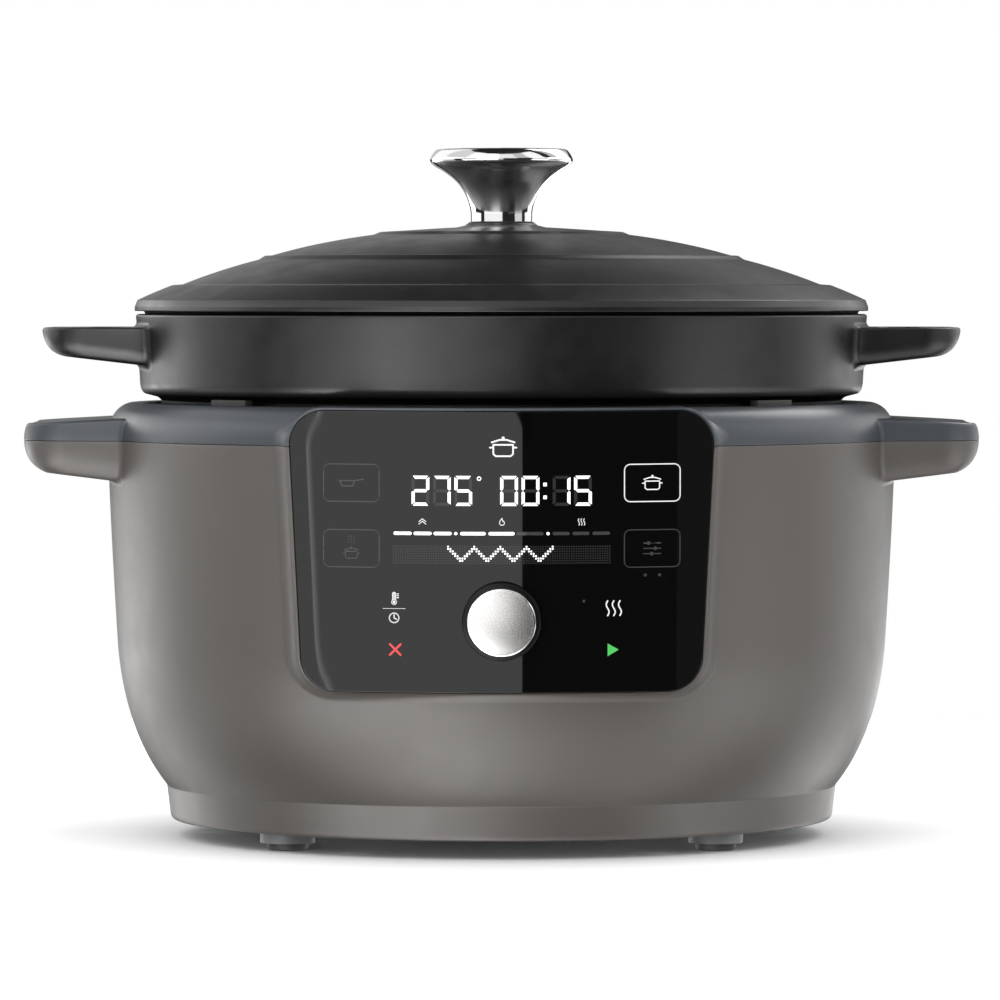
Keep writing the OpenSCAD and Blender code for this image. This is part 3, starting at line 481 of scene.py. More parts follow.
def pod_meshes():
    """The surround of the glass: ledge, recess wall, lip and outer wall, and the fillet to the body."""
    # Each step of the section: (grow, out) at the top and sides, then the same at the bottom edge
    section = [(-3.5, -4.6, -3.5, -4.6), (-3.5, -2.15, -3.5, -2.15), (0.3, -2.15, 0.3, -2.15),
               (0.3, -0.5, 0.3, -0.6), (0.33, -0.36, 0.31, -0.5), (0.42, -0.26, 0.33, -0.45),
               (0.58, -0.22, 0.36, -0.43), (0.85, -0.22, 0.40, -0.43), (1.06, -0.27, 0.44, -0.46),
               (1.22, -0.4, 0.47, -0.52), (1.3, -0.6, 0.49, -0.62), (1.32, -0.9, 0.5, -0.9)]
    facing_down = np.clip(-panel_n[:, 1], 0, 1)
    low = facing_down ** 2
    outside = 1.32 - 0.82 * low
    loops = [panel_ring(g * (1 - low) + gb * low, o * (1 - low) + ob * low) for g, o, gb, ob in section]
    back = panel_ring(outside, -12)
    back[:, 1] = np.maximum(back[:, 1], body_front(back[:, 0], back[:, 2]) + 1.5)
    loops.append(back)
    for loop in loops:
        loop[:, 2] = np.minimum(loop[:, 2], POD_TOP)
    walls = mesh_of(loft(loops))
    # The fillet gets smaller towards the bottom edge and fades out at the top, where the pod meets the ring
    start = panel_ring(outside, -0.75 + 0.3 * low)
    drop = np.maximum(body_front(start[:, 0], start[:, 2]) - start[:, 1], 0.35)
    fade = np.clip((panel_n[:, 1] - 0.15) / 0.55, 0, 1)
    fade = 1 - fade * fade * (3 - 2 * fade)
    reach = (6.0 - 1.8 * facing_down) * fade + 0.02
    deep = np.minimum(drop, 7.0) * (0.15 + 0.85 * fade)
    rings = []
    steps = 14
    for k in range(steps + 1):
        a = math.pi / 2 * k / steps
        across = reach * (1 - math.cos(a)) - 0.01
        lift = deep * (1 - math.sin(a))
        x = start[:, 0] + panel_n[:, 0] * across
        z = start[:, 2] + panel_n[:, 1] * across
        y = body_front(x, z) - lift + 0.03 * k / steps
        if k == 0:
            y = np.maximum(y, start[:, 1])
        rings.append(np.stack([x, y, z], 1))
    x, z = start[:, 0] - panel_n[:, 0], start[:, 2] - panel_n[:, 1]
    rings.append(np.stack([x, body_front(x, z) + 1.2, z], 1))
    return [walls, mesh_of(loft(rings))]


def grip_rounding(span, tall, across):
    """Height and inset of a handle's lower rounding, held back where the handle is thin."""
    height = np.minimum(tall, 0.62 * span)
    return height, across * height / tall


def plate(outline, normals, centre, top, bottom, corner, under, slot=None, rings=18):
    """A side handle: a plan outline between top(x) and bottom(x), with a small rounding of radius corner
    above, a larger one under it, (tall, across), and an optional slot."""
    def edge(pts, nrm, side, upper, height, inset, steps):
        """Rounded edge from the wall to the flat face."""
        made = []
        for k in range(steps + 1):
            a = math.pi / 2 * k / steps
            p = pts + nrm * (side * inset * (1 - math.cos(a)))[:, None]
            rise = height * (1 - math.sin(a))
            z = top(p[:, 0]) - rise if upper else bottom(p[:, 0]) + rise
            made.append(np.column_stack([p, z]))
        return made, pts + nrm * (side * inset)[:, None]

    span = top(outline[:, 0]) - bottom(outline[:, 0])
    small = np.minimum(corner, 0.3 * span)
    height, inset = grip_rounding(span, *under)
    top_edge, face_top = edge(outline, normals, -1, True, small, small, 7)
    low_edge, face_low = edge(outline, normals, -1, False, height, inset, 14)
    up, low = [], []
    if slot is None:
        for f in [1 - (1 - k / rings) ** 2 for k in range(1, rings)]:
            for face, level, into in ((face_top, top, up), (face_low, bottom, low)):
                p = face * (1 - f) + np.array([centre], float) * f
                into.append(np.column_stack([p, level(p[:, 0])]))
        poles = [[(*centre, float(level(np.array([centre[0]]))[0]))] for level in (top, bottom)]
        return loft([poles[0], *up[::-1], *top_edge[::-1], *low_edge, *low, poles[1]], closed=False)
    hole, hole_n = slot
    small = np.full(len(hole), corner)
    hole_top, in_top = edge(hole, hole_n, 1, True, small, small, 7)
    hole_low, in_low = edge(hole, hole_n, 1, False, small, small, 7)
    for f in [k / rings for k in range(1, rings)]:
        for face, inner, level, into in ((face_top, in_top, top, up), (face_low, in_low, bottom, low)):
            p = face * (1 - f) + inner * f
            into.append(np.column_stack([p, level(p[:, 0])]))
    return loft(top_edge + up + hole_top[::-1] + hole_low + low[::-1] + low_edge[::-1])


def root_fillet(half_width, top, bottom, corner, under, radius, on_top, wall_r, steps=10):
    """A hollow-curved strip round the root of a side handle, tangent to the handle and to the round body,
    whose radius at a height is wall_r(z). on_top scales the strip above the handle."""
    def surface_x(y, z):
        return np.sqrt(np.maximum(wall_r(z) ** 2 - y ** 2, 1.0))

    def section(x):
        """The handle's section at x, as (y, z) points and normals, evenly filled along its flats."""
        w = half_width(x)
        zt, zb = float(top(np.array([x]))[0]), float(bottom(np.array([x]))[0])
        height, inset = grip_rounding(zt - zb, *under)
        quarter = [math.pi / 2 * k / 8 for k in range(9)]
        right = [((w - inset * (1 - math.sin(a)), zb + height * (1 - math.cos(a))),
                  (math.sin(a) / inset, -math.cos(a) / height)) for a in quarter]
        right += [((w - corner * (1 - math.cos(a)), zt - corner * (1 - math.sin(a))),
                   (math.cos(a), math.sin(a))) for a in quarter]
        knots = right + [((-p[0], p[1]), (-n[0], n[1])) for p, n in reversed(right)]
        points, normals = [], []
        counts = ([1] * 8 + [8] + [1] * 8 + [30]) * 2
        for (p, n), (q, m), count in zip(knots, knots[1:] + knots[:1], counts):
            for f in [k / count for k in range(count)]:
                points.append(np.array(p) * (1 - f) + np.array(q) * f)
                n1, m1 = np.array(n) / np.hypot(*n), np.array(m) / np.hypot(*m)
                mean = n1 * (1 - f) + m1 * f
                normals.append(mean / np.hypot(*mean))
        return np.array(points), np.array(normals)

    near_x, far_x = 135.0, 165.0
    near, n = section(near_x)
    far, _ = section(far_x)

    def at(x):
        f = np.clip((x - near_x) / (far_x - near_x), 0, 1)[:, None]
        return near * (1 - f) + far * f

    xs = np.full(len(near), 145.0)
    upward = np.clip(n[:, 1] / 0.9, 0, 1)
    reach = radius * (1 - (1 - on_top) * upward * upward * (3 - 2 * upward))
    rings = []
    for k in range(steps + 1):
        a = math.pi / 2 * k / steps
        out = reach * (1 - math.cos(a)) - 0.015
        lift = reach * (1 - math.sin(a)) - 0.015
        for _ in range(4):
            q = at(xs) + n * out[:, None]
            xs = surface_x(q[:, 0], q[:, 1]) + lift
        rings.append(np.column_stack([xs, at(xs) + n * out[:, None]]))
    q = at(xs) - n
    rings.append(np.column_stack([surface_x(q[:, 0], q[:, 1]) - 1.0, q]))
    return loft(rings)


def mirrored(part):
    """The same part on the other side, turned half round the Z axis."""
    verts, faces = part
    return [(-x, -y, z) for x, y, z in verts], faces


def piecewise(points):
    """z as a function of x through points with rising x."""
    pts = np.array(points, float)
    order = np.argsort(pts[:, 0], kind="stable")
    return lambda x: np.interp(x, pts[order, 0], pts[order, 1])


def side_plan(root, tip, reach):
    """Plan of a side handle: half its width at HANDLE_ROOT and at its tip, and how far out it reaches."""
    return [[HANDLE_ROOT, -root], [reach, -tip], [reach, tip], [HANDLE_ROOT, root]]


def taper(root, tip, reach):
    """Half the width of the same plan at x."""
    return lambda x: root - (x - HANDLE_ROOT) * (root - tip) / (reach - HANDLE_ROOT)


HANDLE_ROOT = 120         # the handles start here, inside the wall
BASE_PLAN = (52, 44, 187.2)
BASE_CORNER, BASE_UNDER = 1.3, (13.0, 4.0)
BASE_HANDLE_CORE = 149.0  # the housing's handles are cut off inside this radius
base_top = piecewise([[HANDLE_ROOT, 166.5], [184.6, 163.2]]
                     + bezier([184.6, 163.2], [186.8, 163.1], [187.2, 157.4], 16)[1:])
base_bottom = piecewise([[HANDLE_ROOT, 137.0], [177.5, 143.9]]
                        + bezier([177.5, 143.9], [186.9, 147.2], [187.2, 156.2], 30)[1:])
base_plan, base_plan_n = rounded_path(side_plan(*BASE_PLAN), 20, 24, 2.0)
base_handle = plate(base_plan, base_plan_n, (150, 0), base_top, base_bottom, BASE_CORNER, BASE_UNDER,
                    rings=22)
base_fillet = root_fillet(taper(*BASE_PLAN), base_top, base_bottom, BASE_CORNER, BASE_UNDER, 2.0, 0.05,
                          body_r)

# Rear pod round the power inlet
INLET_Z, INLET_FACE = 52.0, 160.05
REAR_FILLET = 4.0
turn = np.linspace(-math.pi, math.pi, 160, endpoint=False)


def upright_rect(w, h, corner, arc_n, step):
    """A rounded rectangle about the inlet's middle, sampled by angle: points and normals."""
    return by_angle(rounded_path(box_corners(0, 0, w, h), corner, arc_n, step)[0], (0, 0), turn)


pod_pts, pod_n = upright_rect(42, 36, 7, 24, 0.4)
mouth_pts, mouth_n = upright_rect(27.8, 20.6, 0.8, 12, 0.3)


def rear_ring(pts, nrm, grow, y):
    """A loop round the inlet, grow outside an outline, at y (one number or one a point)."""
    q = pts + nrm * grow
    return np.column_stack([q[:, 0], np.broadcast_to(y, len(q)), q[:, 1] + INLET_Z])


def rear_wall(pts, nrm, grow):
    """y of the round body's back along such a loop."""
    q = pts + nrm * grow
    return body_y(q[:, 0], q[:, 1] + INLET_Z)


rear_edge = [(-1.4, 0), (-0.7, 0.1), (-0.25, 0.4), (-0.03, 0.9), (0, 1.4)]
rear_pod = loft([rear_ring(mouth_pts, mouth_n, 0, 140), rear_ring(mouth_pts, mouth_n, 0, INLET_FACE)]
                + [rear_ring(pod_pts, pod_n, grow, INLET_FACE - back) for grow, back in rear_edge]
                + [rear_ring(pod_pts, pod_n, 0, 140)])
rear_rings = []
for step in range(11):
    angle = math.pi / 2 * step / 10
    grow = REAR_FILLET * (1 - math.cos(angle)) - 0.01
    rear_rings.append(rear_ring(pod_pts, pod_n, grow, rear_wall(pod_pts, pod_n, grow)
                                + REAR_FILLET * (1 - math.sin(angle)) - 0.02))
rear_rings.append(rear_ring(pod_pts, pod_n, -1, rear_wall(pod_pts, pod_n, -1) - 1.2))
rear_fillet = loft(rear_rings)


def capped(front, back):
    """A closed block between two rings, with a pole in the middle of each end."""
    return mesh_of(loft([[np.mean(front, 0)], front, back, [np.mean(back, 0)]], closed=False))


# The window for the glass leaves the ring's top whole
WINDOW_TOP = 73.5
window = panel_pts + panel_n * 0.4
window[:, 1] = np.minimum(window[:, 1], WINDOW_TOP)
window_cut = capped(*(panel_to_world(window[:, 0], window[:, 1], out) for out in (12.0, -40.0)))
mouth_cut = mesh_of(loft([[(0, 170, INLET_Z)], rear_ring(mouth_pts, mouth_n, 0.3, 170),
                          rear_ring(mouth_pts, mouth_n, 0.3, 130), [(0, 130, INLET_Z)]], closed=False))


def both_sides(handle, core_r):
    """Both side handles, cut off inside a round core so that they don't show inside the wall."""
    core = [[0, 60], [core_r, 60], [core_r, 240], [0, 240]]
    return [minus(mesh_of(part), mesh_of(revolve(core, 240, closed=False)))
            for part in (handle, mirrored(handle))]


shared = both_sides(base_handle, BASE_HANDLE_CORE) + [mesh_of(base_fillet), mesh_of(mirrored(base_fillet))]
shared += pod_meshes()
housing_shell = minus(mesh_of(revolve(housing_profile(), 360)), window_cut.copy(), mouth_cut)
piece("housing_shell", joined([housing_shell, mesh_of(rear_pod), mesh_of(rear_fillet)]
                              + [part_at_seam(m, above=False) for m in shared]),
      taupe, "base", ["housing"])
ring_shell = minus(mesh_of(revolve(ring_profile(), 360)), window_cut.copy())
piece("top_ring_shell", joined([ring_shell] + [part_at_seam(m, above=True) for m in shared]),
      blue_grey, "base", ["top_ring"])


# --- Pot --------------------------------------------------------------------

pot_outer = (
    arc([107.5, 108], 22, -90, 0, 20)
    + [[134.6, 172], [136, 173.1], [140.6, 174.3]]
    + bezier([140.6, 174.3], [142.6, 174.9], [142.9, 178.8], 10)[1:]
    + [[144.2, 201.7], [144.5, 204.9], [144.1, 205.55], [143.2, 205.7]]
)
pot_inner = (
    [[139.0, 205.7], [138.0, 205.45], [137.5, 204.6]]
    + bezier([137.3, 190], [137, 184.7], [134, 180], 10)
    + bezier([134, 180], [131, 176], [130.7, 170], 8)[1:]
    + [[130.4, 166]]
    + arc([107.5, 108], 18.1, 0, -90, 16)
)
pot_band = np.array([p for p in pot_outer if p[1] > 173])


def band_r(z):
    return np.interp(z, pot_band[:, 1], pot_band[:, 0])


pot_profile = [[0, 86]] + soften(pot_outer, 0.8, 4, closed=False, min_turn=12) + pot_inner + [[0, 90.5]]
POT_PLAN = (46, 37, 180.3)
POT_CORNER, POT_UNDER = 0.9, (7.0, 3.6)
POT_HANDLE_CORE = 140.5   # the pot's handles are cut off inside this radius
SLOT_MIDDLE = (158.5, 0)
pot_top = piecewise([[HANDLE_ROOT, 200.5], [178.8, 200.5]]
                    + bezier([178.8, 200.5], [180.2, 200.4], [180.3, 199.4], 10)[1:])
pot_bottom = piecewise([[HANDLE_ROOT, 183.4], [170, 189.1]]
                       + bezier([170, 189.1], [178.6, 190.4], [180.3, 198.8], 24)[1:])
ray = np.linspace(-math.pi, math.pi, 240, endpoint=False)
pot_plan, pot_plan_n = by_angle(rounded_path(side_plan(*POT_PLAN), 20, 40, 0.4)[0], SLOT_MIDDLE, ray)
slot = by_angle(rounded_path([[149.5, -29], [167.5, -27], [167.5, 27], [149.5, 29]], 8, 30, 0.3)[0],
                SLOT_MIDDLE, ray)
pot_handle = plate(pot_plan, pot_plan_n, SLOT_MIDDLE, pot_top, pot_bottom, POT_CORNER, POT_UNDER, slot=slot,
                   rings=12)
pot_fillet = root_fillet(taper(*POT_PLAN), pot_top, pot_bottom, POT_CORNER, POT_UNDER, 2.4, 1.0, band_r)
piece("pot_body", joined([mesh_of(revolve(pot_profile, 320, closed=False)),
                          *both_sides(pot_handle, POT_HANDLE_CORE), mesh_of(pot_fillet),
                          mesh_of(mirrored(pot_fillet))]),
      enamel, "pot", ["pot"])


# --- Lid and knob -------------------------------------------------------------

lid_outer = (
    [[144.8, 206.9], [145.0, 207.2], [144.9, 208.7], [143.9, 211.2]]
    + bezier([143.9, 211.2], [137.4, 214.3], [130.6, 216.9], 8)[1:]
    + [[130.0, 217.1], [125.9, 217.4]]
    + bezier([125.9, 217.4], [111.2, 223.3], [96.2, 227.1], 16)[1:]
    + [[95.9, 227.2], [93.9, 228.5], [93.3, 228.7], [90.8, 228.8]]
    + bezier([90.8, 228.8], [72.4, 234.2], [50.6, 237.0], 16)[1:]
    + [[48.2, 238.0], [47.6, 238.12], [39, 238.6]]
    + bezier([39, 238.6], [24, 239.6], [17.6, 239.9], 10)[1:]
    + [[14.3, 240.7], [13.4, 241.5], [13.1, 241.6], [3.3, 241.6]]
)
lid_under = (
    [[3.3, 234.1], [18, 234.1]]
    + bezier([18, 234.1], [80, 230.3], [120, 213.8], 24)[1:]
    + [[124, 213.8], [133.2, 208], [133.2, 202.3], [133.6, 201.6], [134.2, 201.5], [136.2, 201.5],
       [136.9, 202.3], [136.9, 205.7], [140.8, 205.7], [141.4, 206.9]]
)
lid_profile = soften(lid_outer + lid_under, 0.45, 4, closed=True, min_turn=10)
piece("lid_shell", mesh_of(revolve(lid_profile, 320)), enamel, "lid", ["lid"], angle=40)

knob_profile = (
    [[3.0, 242.0], [11.9, 242.0], [12.1, 242.2], [12.1, 245]]
    + bezier([12.1, 245], [12.6, 252.0], [17.4, 257.5], 14)[1:]
    + bezier([17.4, 257.5], [20.2, 260.4], [24.4, 262.9], 10)[1:]
    + bezier([24.4, 262.9], [26.4, 263.9], [27.5, 265.0], 6)[1:]
    + bezier([27.5, 265.0], [28.5, 266.0], [28.2, 267.0], 8)[1:]
    + bezier([28.2, 267.0], [27.4, 268.9], [26.4, 270.0], 8)[1:]
    + bezier([26.4, 270.0], [25.9, 270.7], [24.4, 270.85], 6)[1:]
    + [[20, 271.0], [0, 271.0]]
)
piece("lid_knob_turned", mesh_of(revolve(knob_profile + [[0, 257], [3.0, 257]], 160)), chrome, "lid",
      ["lid_knob"], angle=40)
washer_profile = [[3.3, 241.6], [12.7, 241.6], [13, 241.7], [13, 241.9], [12.7, 242], [3.3, 242]]
piece("knob_washer_ring", mesh_of(revolve(washer_profile, 128)), rubber, "lid", ["knob_washer"])


# --- Control panel ---------------------------------------------------------------

def glass_rings(out, fractions):
    """Rings on the front or back of the glass, at fractions of the way from the hole to near the edge."""
    hole = SHAFT_HOLE_R * np.column_stack([np.cos(panel_angles), np.sin(panel_angles)])
    edge = panel_pts + panel_n * GLASS_EDGE[0][0]
    rings = [hole * (1 - f) + edge * f for f in fractions]
    return [panel_to_world(q[:, 0], q[:, 1], glass_front(q[:, 0]) + out) for q in rings]


# The rounded edge of the glass, (grow, out); two rings close together keep the front's shading flat
GLASS_EDGE = [(-1.2, 0), (-0.17, 0), (-0.14, 0), (-0.1, -0.006), (-0.05, -0.03), (-0.015, -0.075), (0, -0.14),
              (0, 0.2 - GLASS_T), (-0.2, -GLASS_T)]
glass_mesh = mesh_of(loft(glass_rings(-GLASS_T, [0]) + glass_rings(0, [k / 24 for k in range(24)])
                          + [panel_ring(g, o) for g, o in GLASS_EDGE]
                          + glass_rings(-GLASS_T, [k / 8 for k in range(7, 0, -1)])))
piece("control_glass_pane", glass_mesh, glass, "base", ["control_glass"], angle=50)


def on_panel_turned(profile, n=128):
    """Turns an (r, out) profile about the dial's axis."""
    angles = np.linspace(0, 2 * math.pi, n, endpoint=False)
    rings = []
    for r, out in profile:
        rings.append(panel_to_world(0, 0, out)[None, :] if r < 1e-6
                     else panel_to_world(r * np.cos(angles), r * np.sin(angles), np.full(n, out)))
    return loft(rings)


skirt_profile = [[3.0, 1.1], [14.3, 1.1], [14.6, 1.2], [14.78, 1.45], [14.8, 1.8], [14.78, 2.5],
                 [14.66, 2.95], [14.4, 3.25], [14.0, 3.4], [6.1, 3.4], [6.1, 6.5], [5.8, 6.8], [3.0, 6.8]]
piece("dial_skirt_turned", mesh_of(on_panel_turned(skirt_profile)), dial_black, "dial",
      ["dial_skirt"], angle=40)
cap_face = [[r, 8.0 - 0.6 * (r / 12.1) ** 2] for r in np.linspace(12.1, 0, 14)]
cap_profile = ([[11.45, 3.45], [12.7, 3.45], [12.85, 3.6], [12.85, 6.8], [12.8, 7.0], [12.55, 7.29],
                [12.3, 7.39]] + cap_face + [[0, 6.9], [11.45, 6.9]])
piece("dial_cap_turned", mesh_of(on_panel_turned(cap_profile)), dial_metal, "dial",
      ["dial_cap"], angle=24)


# --- Marks on the panel: flat prisms that follow the glass --------------------------

MARK_LOW, MARK_HIGH = -0.01, 0.035


def prism(points):
    """A thin closed prism over a convex outline given in the panel's frame."""
    pts = np.array(points, float)
    n = len(pts)
    low = panel_to_world(pts[:, 0], pts[:, 1], glass_front(pts[:, 0]) + MARK_LOW)
    high = panel_to_world(pts[:, 0], pts[:, 1], glass_front(pts[:, 0]) + MARK_HIGH)
    verts = [tuple(p) for p in low] + [tuple(p) for p in high]
    faces = [tuple(range(n - 1, -1, -1)), tuple(range(n, 2 * n))]
    faces += [(i, (i + 1) % n, n + (i + 1) % n, n + i) for i in range(n)]
    return verts, faces


def capsule(a, b, width):
    """A stroke with round ends, in short lengths that follow the glass."""
    a, b = np.array(a, float), np.array(b, float)
    length = np.linalg.norm(b - a)
    d = (b - a) / length if length > 1e-9 else np.array([1.0, 0.0])
    n = np.array([-d[1], d[0]])
    cuts = max(1, int(math.ceil(length / 4.0)))
    parts = []
    for i in range(cuts):
        p, q = a + (b - a) * i / cuts, a + (b - a) * (i + 1) / cuts
        first = [p + width / 2 * (n * math.cos(t) - d * math.sin(t)) for t in np.linspace(0, math.pi, 7)]
        last = [q + width / 2 * (-n * math.cos(t) + d * math.sin(t)) for t in np.linspace(0, math.pi, 7)]
        if i > 0:
            first = [p + n * width / 2, p - n * width / 2]
        if i < cuts - 1:
            last = [q - n * width / 2, q + n * width / 2]
        parts.append(prism(first + last))
    return parts


def line(points, width, closed=False):
    """A chain of strokes."""
    parts = []
    pts = list(points) + ([points[0]] if closed else [])
    for a, b in zip(pts, pts[1:]):
        parts += capsule(a, b, width)
    return parts


def round_points(x, up, r, n):
    angles = np.linspace(0, 2 * math.pi, n, endpoint=False)
    return [[x + r * math.cos(t), up + r * math.sin(t)] for t in angles]


def disc(x, up, r):
    return [prism(round_points(x, up, r, 16))]


def circle(x, up, r, width, n=20):
    return line(round_points(x, up, r, n), width, closed=True)


def rect(x0, up0, x1, up1):
    cuts = max(1, int(math.ceil((x1 - x0) / 4.0)))
    xs = np.linspace(x0, x1, cuts + 1)
    return [prism([[a, up0], [b, up0], [b, up1], [a, up1]]) for a, b in zip(xs, xs[1:])]


def moved(points, x, up, s=1.0):
    """Points drawn about (0, 0), at s times their size and about (x, up)."""
    return [[x + s * p[0], up + s * p[1]] for p in points]


def button_frame(x, up, width=0.42):
    pts, _ = rounded_path(box_corners(x, up, 20.9, 14.0), 2.2, 6, 4.0)
    return line(pts.tolist(), width, closed=True)


def marks(name, parts, look):
    """A piece made of prints on the glass."""
    piece(name, mesh_of(*parts), look, "base", angle=30)


# Seven-segment digits: each segment is a pointed bar with a small gap to the next
DIGITS = {"0": "abcdef", "1": "bc", "2": "abged", "5": "afgcd", "7": "abc"}
DIGIT_W, DIGIT_H, BAR = 6.6, 11.2, 1.15
DIGITS_UP = 43.2


def segments(x, up, names):
    """Some of a digit's segments; x, up is its lower left corner."""
    w, h, t, gap = DIGIT_W, DIGIT_H, BAR, 0.16
    half = h / 2
    shapes = {
        "a": [[gap + 0.3, h], [w - gap - 0.3, h], [w - t - gap, h - t], [t + gap, h - t]],
        "d": [[t + gap, t], [w - t - gap, t], [w - gap - 0.3, 0], [gap + 0.3, 0]],
        "g": [[t * 0.55 + gap, half], [t + gap, half + t / 2], [w - t - gap, half + t / 2],
              [w - t * 0.55 - gap, half], [w - t - gap, half - t / 2], [t + gap, half - t / 2]],
        "f": [[0, h - gap - 0.3], [t, h - t - gap], [t, half + t / 2 + gap], [t * 0.45, half + gap],
              [0, half + gap + 0.3]],
        "b": [[w - t, h - t - gap], [w, h - gap - 0.3], [w, half + gap + 0.3], [w - t * 0.45, half + gap],
              [w - t, half + t / 2 + gap]],
        "e": [[0, half - gap - 0.3], [t * 0.45, half - gap], [t, half - t / 2 - gap], [t, t + gap],
              [0, gap + 0.3]],
        "c": [[w - t * 0.45, half - gap], [w, half - gap - 0.3], [w, gap + 0.3], [w - t, t + gap],
              [w - t, half - t / 2 - gap]],
    }
    return [prism(moved(shapes[s], x, up)) for s in names]


lit, unlit = [], []
digit_places = [(-33.6, "2"), (-25.6, "7"), (-17.6, "5"), (-0.5, "0"), (7.5, "0"), (19.1, "1"), (27.1, "5")]
for x, value in digit_places:
    lit += segments(x, DIGITS_UP, DIGITS[value])
    unlit += segments(x, DIGITS_UP, [s for s in "abcdefg" if s not in DIGITS[value]])
# The colon, and the degree sign
for up in (46.4, 51.2):
    lit += rect(15.6, up - 0.65, 16.9, up + 0.65)
lit += circle(-8.4, 53.4, 0.65, 0.3, 14)
marks("display_digits", lit, lit_white)
marks("display_digits_unlit", unlit, faint_white)

# Dot display: a zigzag of lit dots in a field of faint ones
DOT_PITCH, COLUMNS, ROWS = 0.888, 92, 8
FIELD_X, FIELD_UP = -40.4, 21.7
ZIGZAG_FIRST, ZIGZAG_LAST, ZIGZAG_PERIOD = 23, 67, 11
lit_dots, faint_dots = [], []
for column in range(COLUMNS):
    level = int(abs((column - ZIGZAG_FIRST) % ZIGZAG_PERIOD - ZIGZAG_PERIOD / 2) + 0.5)
    for row in range(ROWS):
        on = ZIGZAG_FIRST <= column <= ZIGZAG_LAST and row in (level, level + 1)
        size = 0.60 if on else 0.54
        dot = box_corners(FIELD_X + column * DOT_PITCH, FIELD_UP + row * DOT_PITCH, size, size)
        (lit_dots if on else faint_dots).append(prism(dot))
marks("display_dots", lit_dots, lit_white)
marks("display_dots_unlit", faint_dots, faint_white)

# Progress bar: the ends of its strokes and the middles of its dots, along the bar
BAR_UP, BAR_WIDTH, BAR_DOT_R = 32.8, 1.25, 0.6
progress = []
for x0, x1 in [(-39.75, -34.22), (-32.28, -26.75), (-24.8, -19.28), (-14.87, -6.58), (-4.26, 4.26)]:
    progress += capsule([x0, BAR_UP], [x1, BAR_UP], BAR_WIDTH)
for x in (-17.11, 17.37):
    progress += disc(x, BAR_UP, BAR_DOT_R)
marks("progress_bar", progress, lit_white)
rest = []
for x0, x1 in [(6.2, 15.09), (19.65, 24.8), (27.13, 32.28), (34.6, 39.94)]:
    rest += capsule([x0, BAR_UP], [x1, BAR_UP], BAR_WIDTH)
marks("progress_bar_unlit", rest, dim_white)


# Generic pictograms, each drawn about its own middle, a few millimetres across
def pan_icon(x, up, s, w):
    parts = line(moved([[-3.2, 0.9], [-2.6, -1.1], [1.6, -1.1], [2.2, 0.9]], x, up, s), w)
    parts += line(moved([[-3.5, 0.9], [2.4, 0.9], [5.6, 1.5]], x, up, s), w)
    return parts


def pot_icon(x, up, s, w):
    parts = line(moved([[-3.2, 1.1], [-3.2, -1.9], [-2.4, -2.6], [2.4, -2.6], [3.2, -1.9], [3.2, 1.1]],
                       x, up, s), w, closed=True)
    parts += line(moved([[-3.7, 1.9], [-1.2, 2.7], [1.2, 2.7], [3.7, 1.9]], x, up, s), w)
    parts += line(moved([[-4.3, 0.2], [-3.2, 0.2]], x, up, s), w)
    parts += line(moved([[3.2, 0.2], [4.3, 0.2]], x, up, s), w)
    parts += disc(x, up + 3.3 * s, 0.5 * s)
    return parts


def waves_icon(x, up, s, w):
    parts = []
    for dx in (-2.0, 0.0, 2.0):
        wave = [[dx + 0.5 * math.sin(t * math.pi * 2 / 6), -2.4 + 0.8 * t] for t in range(7)]
        parts += line(moved(wave, x, up, s), w)
    return parts


def slider_icon(x, up, s, w):
    parts = []
    for i, knob in enumerate((-1.4, 1.2, -0.2)):
        level = (1 - i) * 2.1
        parts += line(moved([[-3.4, level], [3.4, level]], x, up, s), w)
        parts += disc(x + knob * s, up + level * s, 0.75 * s)
    return parts


def thermometer_icon(x, up, s, w):
    parts = line(moved([[0, -0.6], [0, 2.6]], x, up, s), w)
    parts += line(moved([[-0.75, -0.9], [-0.75, 2.5], [-0.4, 3.1], [0.4, 3.1], [0.75, 2.5], [0.75, -0.9]],
                        x, up, s), w)
    parts += circle(x, up - 1.9 * s, 1.25 * s, w)
    parts += disc(x, up - 1.9 * s, 0.7 * s)
    for level in (0.4, 1.4, 2.4):
        parts += line(moved([[1.5, level], [2.3, level]], x, up, s), w)
    return parts


def clock_icon(x, up, s, w):
    return circle(x, up, 2.5 * s, w, 28) + line(moved([[0, 1.6], [0, 0], [1.2, -0.7]], x, up, s), w)


def flame_icon(x, up, s, w):
    return line(moved([[0, 2.6], [-1.0, 1.2], [-1.7, 0], [-1.6, -1.3], [-0.8, -2.2], [0.8, -2.2], [1.6, -1.3],
                       [1.5, -0.1], [0.8, 0.8], [0.5, 0.2], [0.2, 1.4]], x, up, s), w, closed=True)


def rise_icon(x, up, s, w):
    return (line(moved([[-2.6, -1.6], [0, 0.6], [2.6, -1.6]], x, up, s), w)
            + line(moved([[-2.6, 0.2], [0, 2.4], [2.6, 0.2]], x, up, s), w))


